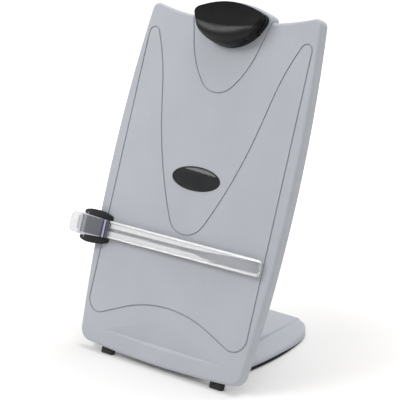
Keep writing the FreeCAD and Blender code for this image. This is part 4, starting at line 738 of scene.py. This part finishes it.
def sees_white(tree):
    """One for camera, transmission and glossy rays, which are shown the white room."""
    rays = tree.nodes.new("ShaderNodeLightPath")
    straight = combine(tree, "ADD", rays.outputs["Is Camera Ray"],
                       rays.outputs["Is Transmission Ray"])
    return combine(tree, "MAXIMUM", straight, rays.outputs["Is Glossy Ray"])


glow = tree.nodes.new("ShaderNodeEmission")
total = tree.nodes.new("ShaderNodeAddShader")
where = tree.nodes.new("ShaderNodeTexCoord")
away = tree.nodes.new("ShaderNodeVectorMath")
away.operation = "LENGTH"
tree.links.new(where.outputs["Object"], away.inputs[0])
glow_level = follow(tree, away.outputs["Value"], FLOOR_GLOW)
tree.links.new(combine(tree, "MULTIPLY", glow_level, sees_white(tree)), glow.inputs["Strength"])
tree.links.new(shader.outputs["BSDF"], total.inputs[0])
tree.links.new(glow.outputs["Emission"], total.inputs[1])
tree.links.new(total.outputs["Shader"], tree.nodes["Material Output"].inputs["Surface"])
floor.data.materials.append(floor_white)
print("floor", FLOOR_SIZE, "m wide")

# %% [markdown]
# The studio is a white tent whose light is stronger overhead than at the horizon. Camera
# rays, gloss and glass see it as plain white.

# %% White room
HORIZON_LIGHT = 0.24
ZENITH_LIGHT = 0.9

world = bpy.data.worlds.new("studio")
bpy.context.scene.world = world
world.use_nodes = True
sky = world.node_tree
background = sky.nodes["Background"]
where = sky.nodes.new("ShaderNodeTexCoord")
split = sky.nodes.new("ShaderNodeSeparateXYZ")
rise = sky.nodes.new("ShaderNodeMapRange")
rise.inputs["To Min"].default_value = HORIZON_LIGHT
rise.inputs["To Max"].default_value = ZENITH_LIGHT
level = sky.nodes.new("ShaderNodeMix")
level.inputs["B"].default_value = 1.0
sky.links.new(where.outputs["Generated"], split.inputs["Vector"])
sky.links.new(split.outputs["Z"], rise.inputs["Value"])
sky.links.new(sees_white(sky), level.inputs["Factor"])
sky.links.new(rise.outputs["Result"], level.inputs["A"])
sky.links.new(level.outputs["Result"], background.inputs["Strength"])
background.inputs["Color"].default_value = (1.0, 1.0, 1.0, 1.0)
print("world from", HORIZON_LIGHT, "at the horizon to", ZENITH_LIGHT, "overhead")

# %% [markdown]
# A large softbox at the upper left shapes the board, and one over the back lights the
# top edge and the foot. Together with the room they add up to a plain level, so a grey
# renders about as it is written.


# %% Softboxes
def softbox(name, place, aim, wide, high, power):
    """A rectangular area lamp at place, turned to aim."""
    clear_selection()
    bpy.ops.object.light_add(type="AREA", location=place)
    lamp = bpy.context.object
    lamp.name = name
    lamp.data.shape = "RECTANGLE"
    lamp.data.size = wide
    lamp.data.size_y = high
    lamp.data.energy = power
    lamp.rotation_mode = "QUATERNION"
    lamp.rotation_quaternion = (aim - Vector(place)).to_track_quat("-Z", "Y")
    print(name, power, "W over", wide, "by", high, "m")
    return lamp


middle = (cad_low + cad_high) / 2
softbox("key", (-0.8, -0.9, 1.3), middle, 0.9, 0.5, 10.0)
overhead = softbox("overhead", (0.22, 0.5, 1.55), middle, 1.2, 1.2, 14.0)
overhead.visible_glossy = False

# %% [markdown]
# A long lens from the front right, a little above the middle of the board, keeps the
# board's edges nearly parallel.

# %% Camera
EYE = Vector((0.80975, -1.03751, 0.5481))
LOOK = Vector((-0.5908, 0.7564, -0.2807))
LENS = 112.65
FILM_WIDTH = 36.0

clear_selection()
bpy.ops.object.camera_add(location=EYE)
camera = bpy.context.object
camera.data.lens = LENS
camera.data.sensor_width = FILM_WIDTH
camera.rotation_mode = "QUATERNION"
camera.rotation_quaternion = LOOK.to_track_quat("-Z", "Y")
bpy.context.scene.camera = camera
bpy.context.scene.view_settings.view_transform = "Standard"
print("camera at", tuple(round(value, 3) for value in EYE), "with a", LENS, "mm lens")
